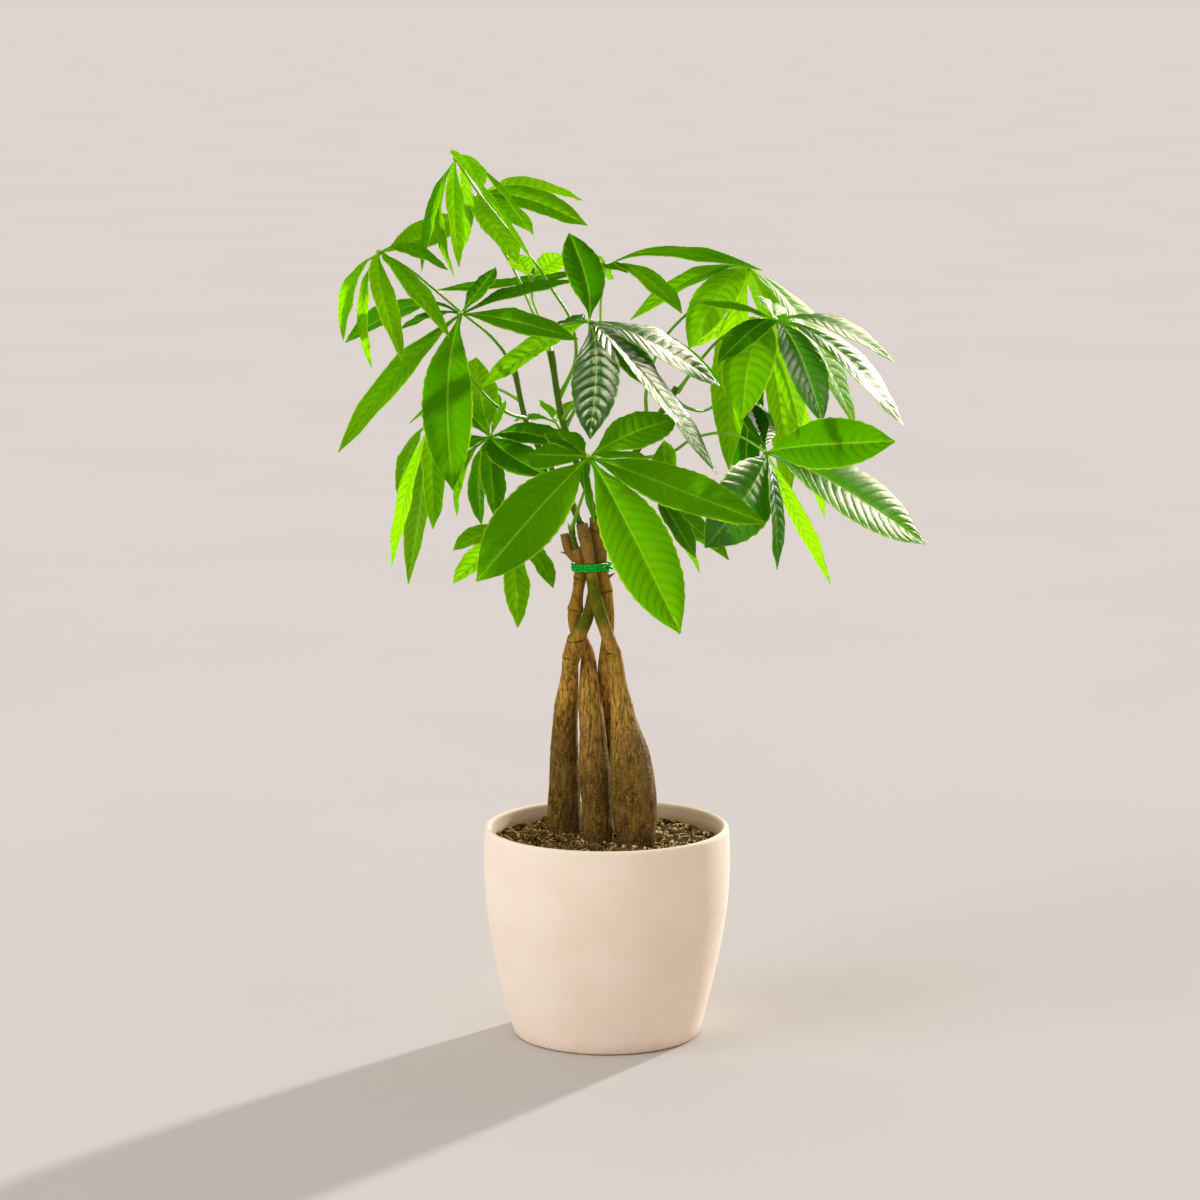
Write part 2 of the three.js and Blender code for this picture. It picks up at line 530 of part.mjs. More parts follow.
function petioleSolid(leaf) {
  const way = [leaf.hub, ...leaf.petiole];
  return sweep(stations(way.map((p, i) => {
    const share = i / (way.length - 1);
    return [...p, PETIOLE_RADIUS + (PETIOLE_FOOT_RADIUS - PETIOLE_RADIUS) * share ** 3];
  })), PETIOLE_SIDES);
}

// Hubs: a small flattened ball where the blades meet
function hubSolid(leaf) {
  const centre = placed(...leaf.hub);
  return sweep([-0.9, 0, 0.9].map((height) => ({
    at: centre.clone().addScaledVector(UPRIGHT, height * HUB_RADIUS * HUB_FLATNESS),
    tangent: UPRIGHT,
    radius: HUB_RADIUS * Math.sqrt(1 - height * height),
  })), SHOOT_SIDES);
}

function leafSolid(leaf, shoot) {
  const blades = leaf.leaflets.map((leaflet) => bladeSolid(leaf.hub, leaflet));
  const body = blades.reduce((all, blade) => all.add(blade), petioleSolid(leaf).add(hubSolid(leaf)));
  return body.subtract(shoot).simplify(SMALLEST_FACET);
}

// Tie: turns of wire round the crossing, each a little tilted, with two twisted ends at the right
const TIE_CENTRE = [-12.2, 0.2];
const TIE_REACH = [14.6, 14.2];
const TIE_TURNS = [{ height: 367.8, tilt: 0.5 }, { height: 370.4, tilt: -0.6 }, { height: 373, tilt: 0.7 }];
const TIE_STRETCH = 1.25;
const TIE_ENDS = [
  [[0, -5, 369, 1], [2.6, -7.6, 371, 0.9], [3.6, -8.6, 375.4, 0.8]],
  [[0, -5, 373, 1], [2.8, -7.8, 372, 0.9], [4.4, -9.4, 370.4, 0.8]],
];

function tieTurn({ height, tilt }) {
  return loft(ring(TIE_STEPS, (turn) => {
    const out = new THREE.Vector3(Math.cos(turn), Math.sin(turn), 0);
    const middle = new THREE.Vector3(
      TIE_CENTRE[0] + TIE_REACH[0] * out.x,
      TIE_CENTRE[1] + TIE_REACH[1] * out.y,
      height + tilt * out.x,
    );
    return ring(TIE_SIDES, (angle) => middle.clone().addScaledVector(out, Math.cos(angle) * TIE_WIRE)
      .addScaledVector(UPRIGHT, Math.sin(angle) * TIE_WIRE * TIE_STRETCH));
  }), true);
}

function tieSolid() {
  const ends = TIE_ENDS.map((end) => sweep(stations(end, 2), TIE_SIDES + 1));
  return TIE_TURNS.map(tieTurn).concat(ends).reduce((all, piece) => all.add(piece));
}

// Assembly
const COLOURS = {
  pot: [0xe6d2bf, 0.85],
  soil: [0x3a2a1c, 0.95],
  trunk: [0x8a6a3a, 0.8],
  tie: [0x0b8f2a, 0.35],
  shoot: [0x6f9a35, 0.5],
  leaf: [0x3f8f1c, 0.4],
};

const part = new THREE.Group();

function addNode(name, body, kind) {
  const { vertProperties, triVerts } = body.getMesh();
  const geometry = new THREE.BufferGeometry();
  geometry.setAttribute('position', new THREE.BufferAttribute(vertProperties, 3));
  geometry.setIndex(new THREE.BufferAttribute(triVerts, 1));
  geometry.computeVertexNormals();
  const [color, roughness] = COLOURS[kind];
  const node = new THREE.Mesh(geometry, new THREE.MeshStandardMaterial({ color, roughness, metalness: 0 }));
  node.name = name;
  part.add(node);
}

addNode('pot', potSolid(), 'pot');

// Each trunk stands in a plain hole in the soil.
let soil = soilSolid();
Object.keys(TRUNKS).forEach((name, i) => {
  soil = soil.subtract(trunkSolid(name, i + 1, FIT_GAP));
  addNode(name, trunkSolid(name, i + 1, 0), 'trunk');
});
addNode('soil', soil, 'soil');
addNode('twist_tie', tieSolid(), 'tie');

Object.keys(SHOOTS).forEach((name) => addNode(name, shootSolid(name, 0), 'shoot'));

// Each petiole ends a gap short of its shoot.
Object.entries(LEAVES).forEach(([name, leaf]) => {
  addNode(name, leafSolid(leaf, shootSolid(leaf.on, FIT_GAP)), 'leaf');
});

export default part;
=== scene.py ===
import math

import bpy
import numpy as np
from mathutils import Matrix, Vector, noise


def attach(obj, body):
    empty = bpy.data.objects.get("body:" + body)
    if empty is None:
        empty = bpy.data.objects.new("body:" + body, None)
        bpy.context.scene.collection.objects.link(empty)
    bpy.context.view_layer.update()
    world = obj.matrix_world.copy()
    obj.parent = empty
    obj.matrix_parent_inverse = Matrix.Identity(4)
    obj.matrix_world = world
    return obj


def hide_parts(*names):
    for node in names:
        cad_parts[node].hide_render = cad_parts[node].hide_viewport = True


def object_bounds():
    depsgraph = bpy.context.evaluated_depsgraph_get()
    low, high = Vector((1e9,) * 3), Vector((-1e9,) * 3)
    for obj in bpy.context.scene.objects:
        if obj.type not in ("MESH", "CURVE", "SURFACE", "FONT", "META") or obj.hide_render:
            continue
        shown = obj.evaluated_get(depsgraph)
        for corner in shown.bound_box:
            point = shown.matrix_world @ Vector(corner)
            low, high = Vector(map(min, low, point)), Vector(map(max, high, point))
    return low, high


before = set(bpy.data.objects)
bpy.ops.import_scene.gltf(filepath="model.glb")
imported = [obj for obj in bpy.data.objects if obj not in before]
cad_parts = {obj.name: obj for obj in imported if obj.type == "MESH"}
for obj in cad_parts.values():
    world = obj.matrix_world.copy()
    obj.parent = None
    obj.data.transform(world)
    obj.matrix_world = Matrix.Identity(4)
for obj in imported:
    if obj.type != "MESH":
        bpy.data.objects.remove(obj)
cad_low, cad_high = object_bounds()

# Sizes are in millimetres and turned to metres where a mesh is made.
MM = 0.001

# The photo's camera, worked out from the ellipses of the pot's rim and foot, with its pitch below level
EYE = np.array([-5.3, -2833.5, 800.7])
CAMERA_PITCH = 9.15
CAMERA_LENS = 111

# Pot: radius and height up the wall, at the edge of the foot, and at the middle of the round lip
POT_WALL_OUTSIDE = [
    [73.4, 2.4], [75.2, 8], [78, 19], [84, 43], [90.5, 75], [95, 106], [96.5, 140], [96, 156], [95.5, 163.6],
]
POT_WALL_INSIDE = [[90.4, 162], [89.5, 106], [85, 75], [78.5, 43], [72.5, 19], [66, 9]]
POT_FOOT_EDGE = [[68.5, 0], [70.4, 0.12], [71.9, 0.6], [72.9, 1.5]]
LIP_MIDDLE = [92.95, 163.4]
LIP_HALF_WIDTH = 2.55
RIM_HEIGHT = 166
POT_SIDES = 144

# Soil: a bed of rings with crumbs and fibres on it
SOIL_HEIGHT = 152
SOIL_BOTTOM = 132
SOIL_RADIUS = 89.9
SOIL_SIDES = 200
SOIL_RINGS = 84
CRUMBS = 3600
FIBRES = 260

# Leaves
HUB_RADIUS = 3
BLADE_THICKNESS = 0.5
STALK_THICKNESS = 1.5
PETIOLE_RADIUS = 1.05
PETIOLE_FOOT_RADIUS = 1.6
BLADE_FOLD = 0.2
BLADE_ROWS = 92
BLADE_COLUMNS = 12
LEAST_HALF_WIDTH = 0.35
QUILT = 1.2
RIPPLE = 1.1
# The ripples of the front leaves are pressed back over this depth, to stay within the solids' reach.
FRONT_MARGIN = 3
# Side veins: the distance between two of them, and how far they lean to the tip, straight and in a curve
VEIN_PITCH = 9.5
VEIN_LEAN = 0.055
VEIN_CURVE = 0.075
# The UV layout "skin" counts in steps of this length.
SKIN_UNIT = 100
# Half-width along a blade, as a share of the greatest half-width
BLADE_OUTLINE = np.array([
    [0, 0.05], [0.05, 0.08], [0.1, 0.19], [0.18, 0.45], [0.28, 0.74], [0.4, 0.94], [0.52, 1], [0.64, 0.97],
    [0.75, 0.83], [0.85, 0.59], [0.92, 0.34], [0.97, 0.13], [1, 0.02],
])

# Trunks
TRUNK_SIDES = 44
TRUNK_STEPS = 14
TRUNK_FOOT_HEIGHT = 118
# Feet, for crumbs to keep clear of: x, y, radius
TRUNK_FEET = [(-33, 38, 14), (-6, 2, 13), (23.5, -8, 16), (12, 48, 12)]
# Nodes, where the bark swells and creases: height, swelling, reach
NODES_ON_TRUNKS = {
    "trunk_left": [(299, 0.7, 2.5), (314, 0.5, 2)],
    "trunk_middle": [(337, 0.9, 2.2), (362, 0.5, 2)],
    "trunk_right": [(304, 0.8, 2), (396, 0.5, 3)],
    "trunk_back": [(352, 0.6, 3), (399, 0.7, 3)],
}
# Thorns and small buds: foot, tip and radius
THORNS = {
    "trunk_middle": [([-29, -0.5, 380.5], [-36, -1.5, 382], 1.5)],
    "trunk_back": [([0.5, -1, 362], [6.4, -3, 365.6], 1.5)],
}
# Heights between which a trunk's bark is green
GREEN_BARK = {"trunk_left": (319, 348), "trunk_right": (322, 366)}

# Twist tie: middle, radii, rise a turn, turns, steps a turn, the wire's radius, the knot and its two tails
TIE_MIDDLE = (-12.2, 0.2, 367.6)
TIE_RADII = (14.5, 14.1)
TIE_RISE = 1.9
TIE_TURNS = 3
TIE_STEPS = 64
TIE_WIRE = 1.12
TIE_KNOT = np.array([1.4, -7.4, 371])
TIE_TAILS = ([3.6, -8.6, 375.4], [4.4, -9.4, 370.4])

# Looks. Places of lights are in metres.
# Suns: name, place, strength, spread in degrees and colour
SUNS = [
    ("window", (2.0, 2.6, 1.25), 4.4, 3, (0.97, 1.0, 1.0)),
    ("fill", (-2.6, -1.5, 1.9), 1.45, 45, (0.90, 1.0, 1.09)),
]
SUN_TARGET = (0, 0, 0.3)
SKY_COLOUR = (1.0, 0.905, 0.83, 1.0)
SKY_LIGHT = 0.86
SKY_SEEN = 0.8
SKY_REFLECTED = 0.10
# Panels of sheen: name, place, width, and the power that a panel 1 m wide would have
PANELS = [
    ("panel_right", (2.1, 0, 2.03), 1.6, 180), ("panel_back", (1.37, 1.52, 2.05), 1.7, 210),
    ("panel_left", (-1.41, -0.75, 2.55), 2.2, 85),
]
PANEL_COLOUR = (1.0, 0.89, 0.69)
PANEL_TARGET = (0, 0, 0.45)
# Share of a blade's light that comes through it, for its upper side and its underside
LEAF_GLOW_TOP = 0.73
LEAF_GLOW_UNDER = 0.75
FLOOR_COLOURS = (0.517, 0.486, 0.466, 1), (0.502, 0.468, 0.447, 1)
# The floor, and a far strip of it that rises a little so that it fills the view to the top edge
FLOOR_REACH = 5000000
FLOOR_FAR = 5900000
FLOOR_RISE = 30000
FLOOR_DROP = 0.2

# Trunks: x, y, z, radius, from the soil up. Tables hold x and z as seen on the plane y = 0.
TRUNKS = {
    "trunk_left": [
        [-33, 38, 166, 13.2], [-33, 36, 188, 13], [-33, 30, 224, 11], [-31.5, 20, 260, 9.4],
        [-29.2, 9, 286, 6.9], [-27.6, 1, 300, 6.4], [-24.4, -4, 312, 6.1], [-19.6, -3.4, 321, 5.4],
        [-15.2, -0.4, 330, 4.9], [-11.8, 5, 345, 4.4], [-10.4, 8.2, 358, 4], [-10.6, 7.8, 374, 3.8],
        [-9.6, 12, 385, 3.9], [-6, 13.6, 399, 4],
    ],
    "trunk_middle": [
        [-6, 2, 156, 12], [-8.4, 3, 190, 11.8], [-10.5, 5, 224, 11], [-12.6, 7, 258, 9.6],
        [-14, 9.4, 286, 7.3], [-15, 12, 300, 6], [-18.6, 13, 311, 5.2], [-23.4, 11.6, 320, 5.4],
        [-25, 8, 330, 5.2], [-24, 3.6, 339, 5.7], [-22.2, 1.4, 351, 4.6], [-20.4, 0.8, 364, 4.9],
        [-19.8, 0.8, 372, 4.7], [-23.6, 1, 385, 5.5],
    ],
    "trunk_right": [
        [23.5, -8, 154, 14.6], [22.3, -8, 172, 17], [20.5, -8, 191, 18.3], [17.6, -6, 224, 15.4],
        [13.2, -3, 250, 9.8], [9.4, -4, 275, 6.6], [5.8, -6.4, 300, 5.8], [1, -9.6, 315, 5.3],
        [-4.2, -11.4, 330, 5], [-8.4, -11.6, 345, 4.8], [-11, -9.6, 356, 4.4], [-12.6, -7.6, 371, 4.1],
        [-15.6, -8.4, 387, 4.8], [-19.4, -6, 404, 4.5],
    ],
    "trunk_back": [
        [12, 48, 168, 11.5], [8, 42, 191, 10.4], [3.4, 33, 224, 9], [0, 25, 256, 7.8], [-1, 17, 282, 6.2],
        [-1, 9.6, 300, 5.1], [0.6, 4, 315, 4.7], [0.8, -0.2, 330, 4.9], [-0.4, -0.2, 345, 5.4],
        [-1.8, 0, 356, 5.4], [-4.2, 0, 367, 4.9], [-4.8, 0, 375, 4.8], [-6, 1.2, 385, 6],
        [-7.6, 2, 396, 5.8], [-9, 1, 409, 5],
    ],
}
# The cut end of a side branch on the middle trunk, and the shoots: x, y, z, radius
STUB = [[-24, 0.6, 376, 3.6], [-29.6, 0, 383, 3.4], [-33, 0, 396, 3.4]]
SHOOTS = {
    "shoot_front": [
        [-24.2, 0, 385, 2.6], [-26.2, -0.4, 393, 2.7], [-27.4, -1, 402, 2.5],
    ],
    "shoot_left": [
        [-20, -4, 404, 3], [-32, 6, 430, 2.7], [-50, 20, 460, 2.5], [-62, 28, 484, 2.3], [-71, 32, 524, 2],
    ],
    "shoot_middle": [
        [-5, 11, 399, 3], [-16, 15, 432, 2.8], [-28, 17, 465, 2.7], [-35, 17, 488, 2.7], [-43, 17, 538, 2.4],
    ],
    "shoot_right": [
        [-9, 0, 409, 3.2], [-2, 5, 424, 2.9], [12, 11, 444, 2.8], [32, 16, 475, 2.7], [54, 18, 510, 2.4],
    ],
}

# Leaves: hub, the way of the petiole to its shoot, and the leaflets. A leaflet is the x, y, z of its tip,
# with y counted from the hub, then the width seen, width, bow and arc, the painted light and shade of the
# leaflet from 0, painted shade, to 1, painted as lit through, and the slot of its upper face: 0, plain, 3,
# satin, or 4, waxed.
LEAVES = {
    "leaf_01": [
        [-115, 10, 685],
        [
            [-101, 0, 663], [-80, -12, 636], [-54, 4, 604], [-42, 20, 585], [-28, 22, 562], [-24, 24, 532],
            [-37, 17, 501],
        ],
        [
            [-113, -45, 602, 13, 26, 14, -2.5, 1.3, 0], [-111, 36, 613, 10, 24, 12, 6, 0.8, 0],
            [-142, -22, 599, 8, 24, 12, -5.5, 0.6, 0], [-117, -5, 594.5, 7, 22, 14, -12, 0.7, 0],
            [-95, -70, 662, 12, 26, 10, 4.8, 1.2, 0], [-56, -70, 626, 3, 12, 12, 8, 0.6, 0],
            [-55, -42, 604, 4, 12, 8, 2.5, 1.2, 0],
        ],
    ],
    "leaf_02": [
        [-174, -30, 614],
        [
            [-152, -28, 601], [-133, -24, 586], [-112, -18, 568], [-92, -8, 552], [-79, 12, 537],
            [-71, 32, 520],
        ],
        [
            [-117, 126, 643, 22, 30, 8, -5, 0.7, 0], [-121.5, -15, 600, 9, 26, 12, 7.4, 0.5, 0],
            [-120.5, -82, 548, 13, 30, 14, 3, 0.7, 0], [-157, -80, 530, 17, 30, 14, -4.3, 0.8, 0],
            [-181, -15, 524, 8, 28, 12, -9, 1.1, 0], [-202.5, -20, 546, 10, 28, 12, -10, 0.9, 0],
        ],
    ],
    "leaf_03": [
        [-112, -70, 567],
        [[-114, -48, 545], [-106, -22, 520], [-90, -8, 500], [-76, 6, 490], [-63, 28, 486]],
        [
            [-85, 30, 602, 12, 18, 3, -0.5, 0.2, 0], [-22, 85, 592, 9, 32, 10, 3.5, 0.2, 0],
            [-22, -15, 547, 17, 32, 12, 2.5, 0.3, 0], [-119, -30, 430.5, 38, 39, 12, -7, 0.32, 0],
            [-207, 15, 460, 18, 36, 12, -5, 0.5, 0], [-200.5, 75, 544.5, 11, 34, 16, -15, 0.15, 0],
            [-158, 50, 555, 4, 18, 5, -4, 0.15, 0],
        ],
    ],
    "leaf_04": [
        [-13, -50, 561],
        [[-14, -38, 540], [-18, -12, 512], [-34, 17, 485]],
        [
            [-29, 45, 628, 29, 31, 5, -4.5, 0.15, 0], [-13, -50, 470, 36, 38, 10, 4.8, 0.0, 4],
            [44, -34, 505, 22, 34, 12, 1, 0.0, 4], [85, -45, 443, 14, 32, 20, 6, 0.15, 4],
            [87, 0, 511, 19, 34, 14, 6.5, 0.05, 4], [-35, 40, 560, 7, 22, 4, -1, 0.15, 3],
            [-96, 75, 510, 15, 32, 12, -5, 0.65, 0], [93, 45, 509.5, 14, 28, 12, 8, 0.25, 0],
        ],
    ],
    "leaf_05": [
        [-13.5, -120, 456.5],
        [[-14, -92, 444], [-17, -64, 431], [-22, -30, 416], [-27.2, -1, 400]],
        [
            [-101, -30, 359, 45, 48, 12, -1.7, 0.42, 0], [57, -25, 318, 48, 51, 12, 2, 0.42, 0],
            [123, -45, 404, 31, 42, 14, 0.5, 0.45, 0], [54, 40, 486, 28, 34, 6, 3, 0.4, 0],
            [-60, 45, 458, 23, 30, 6, 0, 0.35, 0], [-40, 60, 478, 18, 28, 5, 2, 0.3, 0],
            [33, -50, 455, 5, 24, 6, 1, 0.35, 0], [-10, 55, 405, 8, 22, 10, -5, 0.3, 0],
        ],
    ],
    "leaf_06": [
        [108.7, 70, 602],
        [[85, 60, 588], [62, 45, 567], [46, 35, 550], [36, 28, 530], [30, 21, 505], [32, 16, 476]],
        [
            [18, -40, 562, 12, 34, 16, -10, 0.7, 0], [63, -85, 540, 29, 36, 14, -7, 0.75, 0],
            [94, -20, 446, 28, 40, 14, -6, 0.95, 0], [150, -40, 500, 14, 34, 12, 6, 0.9, 0],
            [192, -38, 478, 20, 36, 20, 12, 0.85, 3], [120, 90, 560, 14, 28, 6, 2, 0.6, 0],
        ],
    ],
    "leaf_07": [
        [128.6, -25, 562],
        [[108, -12, 557], [87, 4, 547], [72, 13, 531], [54, 18, 506]],
        [
            [127, 55, 575, 20, 24, 4, 1, 0.6, 3], [70, -20, 574.5, 5, 26, 6, -2.5, 0.4, 0],
            [85.5, -55, 529, 19, 30, 10, -4, 0.2, 0], [104, -75, 485, 38, 40, 14, -9, 0.6, 0],
            [166, -60, 482, 28, 34, 14, 6, 0.15, 3], [150, 0, 480, 19, 30, 10, -1, 0.6, 0],
            [228, -45, 481, 16, 36, 16, 12.5, 0.3, 4], [220.5, -35, 530, 11, 34, 14, 11, 0.4, 3],
        ],
    ],
    "leaf_08": [
        [123, -90, 460],
        [[97, -58, 474], [68, -22, 471], [48, 4, 459], [20, 14, 454]],
        [
            [222, -40, 468, 38, 41, 12, 2, 0.3, 0], [246.5, -10, 388, 35, 42, 14, 5, 0.3, 4],
            [76, -50, 385.5, 45, 52, 12, 5, 0.1, 4], [132, -30, 368, 10, 30, 10, 3, 0.2, 3],
            [115, 80, 500, 20, 32, 6, 1, 0.1, 3], [97, 70, 507, 20, 34, 8, -2, 0.1, 0],
            [173.5, 60, 357, 12, 30, 12, -0.5, 1.0, 0],
        ],
    ],
    "leaf_09": [
        [-90, -5, 472],
        [[-76, 12, 475], [-56, 24, 471]],
        [
            [-27, -40, 465, 16, 28, 8, 5.5, 0.2, 0], [-44.5, -60, 440, 26, 32, 8, -3, 0.2, 0],
            [-86, -50, 408, 19, 30, 8, -1, 0.3, 0], [-97, 40, 403, 13, 26, 10, -6.5, 0.4, 0],
            [-116, -10, 410, 8, 24, 12, -10, 0.5, 0], [-130, -30, 456, 10, 20, 5, -2, 0.35, 0],
            [-111, 40, 496.5, 18, 24, 4, 0, 0.3, 0], [-100, 70, 533, 26, 30, 5, 2, 0.8, 0],
            [-78, -20, 500, 6, 10, 1, 0, 0.6, 0],
        ],
    ],
    "leaf_10": [
        [-1.5, 80, 603],
        [[-4.5, 66, 577], [-6, 46, 542], [-18, 28, 506], [-32, 17, 479]],
        [
            [118.5, -50, 600, 9, 34, 16, 11.5, 0.6, 0], [57.5, -100, 567, 11, 30, 12, 9.5, 0.6, 0],
            [-130, 40, 585, 7, 32, 12, 4, 0.3, 0], [16, -60, 598, 5, 18, 5, 1, 0.3, 0],
            [0, 75, 594, 8, 20, 4, 0, 0.7, 0],
        ],
    ],
    "leaf_11": [
        [-102, 80, 656],
        [[-86, 78, 626], [-70, 68, 598], [-57, 52, 568], [-49, 34, 548], [-41.6, 17, 527]],
        [
            [-18, 40, 653, 12, 32, 14, 10, 1.0, 0], [-15, -30, 634, 18, 32, 12, 8.5, 0.5, 0],
            [-56, -70, 628, 12, 26, 8, 5, 0.9, 0], [-68, -90, 605, 21, 30, 10, 2, 1.2, 0],
            [-111, 110, 622, 10, 24, 6, 0, 0.7, 0],
        ],
    ],
    "leaf_12": [
        [-58, 55, 594],
        [[-57, 50, 578], [-53, 42, 567], [-46, 27, 550], [-42.8, 17, 536]],
        [
            [-70.5, -32, 612, 17, 20, 3, 0, 0.9, 0], [-34, -32, 612, 18, 20, 3, 0, 0.9, 0],
            [-50, 22, 602, 10, 20, 4, 0, 0.6, 0],
        ],
    ],
    "leaf_13": [
        [-93, 75, 512],
        [[-80, 60, 507], [-66, 30, 499]],
        [
            [-82, 12, 493, 8, 14, 2, 0.5, 0.1, 0], [-108, 20, 500, 8, 16, 2, 0, 0.1, 0],
            [-96, 36, 523, 10, 16, 2, 0, 0.1, 0], [-152.5, -10, 482, 4, 16, 8, -6, 0.4, 0],
        ],
    ],
    "leaf_14": [
        [-40, 48, 484],
        [[-37, 34, 479], [-31, 17, 472]],
        [
            [-72, 14, 484, 4, 16, 6, -3, 0.6, 0], [-25, 26, 500, 10, 16, 2, 0, 0.5, 0],
            [-48, 45, 498, 8, 16, 4, 0, 0.6, 0],
        ],
    ],
    "leaf_15": [
        [-136, 52, 482],
        [[-112, 52, 484], [-84, 46, 470], [-48, 19, 456]],
        [
            [-161.5, 50, 426, 9, 24, 10, -6.5, 0.6, 0], [-167, -20, 371, 11, 30, 12, -3.5, 0.95, 0],
            [-154, 20, 357, 18, 34, 12, 0, 0.6, 0], [-134.5, -50, 400, 18, 30, 10, 0.5, 0.7, 0],
            [-131, 70, 430, 12, 28, 8, 0, 0.6, 0], [-120, 60, 470, 5, 16, 5, 0, 0.5, 0],
        ],
    ],
    "leaf_16": [
        [-70, 15, 394],
        [[-64, 17, 414], [-50, 14, 425], [-32, 6, 430]],
        [
            [-119, -50, 383.5, 13, 26, 10, -8, 0.6, 0], [-119, 40, 357.5, 17, 28, 8, -4.4, 0.8, 0],
            [-69, -40, 322.5, 20, 30, 8, -1.5, 0.6, 0], [-41.5, -45, 354, 14, 26, 8, 4, 0.5, 0],
            [-57, 60, 399, 12, 26, 6, 0, 0.6, 0],
        ],
    ],
    "leaf_17": [
        [117, 100, 562],
        [[110, 96, 530], [96, 92, 508], [78, 78, 493], [62, 46, 494], [51, 17.5, 502]],
        [
            [141, -20, 423, 23, 38, 14, 5, 1.0, 0], [168.5, 10, 409, 18, 36, 14, 3, 1.0, 0],
            [63, 70, 540, 12, 30, 10, -6, 0.9, 0], [160, 80, 545, 12, 32, 10, 2, 0.9, 0],
            [105, -20, 405, 24, 32, 10, -2, 0.05, 0],
        ],
    ],
    "leaf_18": [
        [38, -30, 428],
        [[35, -16, 440], [28, 0, 450], [14, 11, 446]],
        [
            [68.6, 20, 378, 16, 26, 6, 1, 0.3, 0], [94.5, 50, 376, 16, 30, 8, 1, 0.35, 0],
            [44, -25, 469, 19, 22, 3, -3, 0.5, 0], [72, 64, 366, 5, 24, 6, 1, 0.6, 0],
        ],
    ],
}
# The one leaflet that is rolled over, with its upper face turned forward and down: leaf and number
ROLLED = ("leaf_08", 3)


def placed(x, y, z):
    """The point at depth y that the camera sees at x, z of the plane y = 0."""
    scale = (y - EYE[1]) / (0 - EYE[1])
    return np.array([EYE[0] + (x - EYE[0]) * scale, y, EYE[2] + (z - EYE[2]) * scale])


def unit(v):
    return v / np.maximum(np.linalg.norm(v, axis=-1, keepdims=True), 1e-9)


def bell(value, spread):
    return np.exp(-(value / spread) ** 2)


class Shape:
    """Collects points with two UV layouts and a tone, which on leaves is their painted light and shade, and
    faces with a material number.
    """

    def __init__(self):
        self.points, self.faces, self.skin, self.vein, self.tone_and_painted_light, self.slots = [], [], [], [], [], []
        self.count = 0

    def add(self, points, faces, skin=0, vein=0.5, tone_and_painted_light=0.5, slots=0):
        n = len(points)
        self.points.append(np.asarray(points, float))
        self.faces += [[i + self.count for i in face] for face in faces]
        self.skin.append(np.zeros((n, 2)) + skin)
        self.vein.append(np.zeros((n, 2)) + vein)
        self.tone_and_painted_light.append(np.zeros(n) + tone_and_painted_light)
        self.slots += np.broadcast_to(slots, len(faces)).tolist()
        self.count += n

    def build(self, name, materials, sharp=60):
        mesh = bpy.data.meshes.new(name)
        mesh.from_pydata((np.concatenate(self.points) * MM).tolist(), [], self.faces)
        corner = np.zeros(len(mesh.loops), np.int32)
        mesh.loops.foreach_get("vertex_index", corner)
        for layer, values in (("skin", self.skin), ("vein", self.vein)):
            uv = mesh.uv_layers.new(name=layer)
            uv.data.foreach_set("uv", np.concatenate(values)[corner].astype(np.float32).ravel())
        level = mesh.attributes.new("tone_and_painted_light", "FLOAT", "POINT")
        level.data.foreach_set("value", np.concatenate(self.tone_and_painted_light).astype(np.float32))
        mesh.polygons.foreach_set("material_index", np.array(self.slots, np.int32))
        mesh.polygons.foreach_set("use_smooth", np.ones(len(mesh.polygons), bool))
        for material in materials:
            mesh.materials.append(material)
        mesh.set_sharp_from_angle(angle=math.radians(sharp))
        mesh.update()
        thing = bpy.data.objects.new(name, mesh)
        bpy.context.scene.collection.objects.link(thing)
        return thing


def spline(points, per):
    """Centripetal curve through points: positions, and the place of each along the list."""
    p = np.asarray(points, float)
    p = np.vstack([2 * p[0] - p[1], p, 2 * p[-1] - p[-2]])
    out, where = [], []
    for k in range(1, len(p) - 2):
        t0, t1, t2 = (max(np.linalg.norm(p[k + i] - p[k + i - 1]) ** 0.5, 1e-4) for i in range(3))
        m1 = ((p[k] - p[k - 1]) / t0 - (p[k + 1] - p[k - 1]) / (t0 + t1) + (p[k + 1] - p[k]) / t1) * t1
        m2 = ((p[k + 1] - p[k]) / t1 - (p[k + 2] - p[k]) / (t1 + t2) + (p[k + 2] - p[k + 1]) / t2) * t1
        a = 2 * p[k] - 2 * p[k + 1] + m1 + m2
        b = -3 * p[k] + 3 * p[k + 1] - 2 * m1 - m2
        last = k == len(p) - 3
        for i in range(per + last):
            t = i / per
            out.append(a * t ** 3 + b * t ** 2 + m1 * t + p[k])
            where.append(k - 1 + t)
    return np.array(out), np.array(where)


def limb(rows, per):
    """A curve through rows of x, y, z, radius, with the radius and the place at each of its points."""
    path, where = spline([placed(*row[:3]) for row in rows], per)
    return path, np.interp(where, np.arange(len(rows)), [row[3] for row in rows]), where


def ring_faces(rings, sides):
    """Quads between rings of points, and a cap at either end."""
    faces = []
    for start in range(0, (rings - 1) * sides, sides):
        for j in range(sides):
            a, b = start + j, start + (j + 1) % sides
            faces.append([a, b, b + sides, a + sides])
    return faces + [list(range(sides))[::-1], list(range((rings - 1) * sides, rings * sides))]


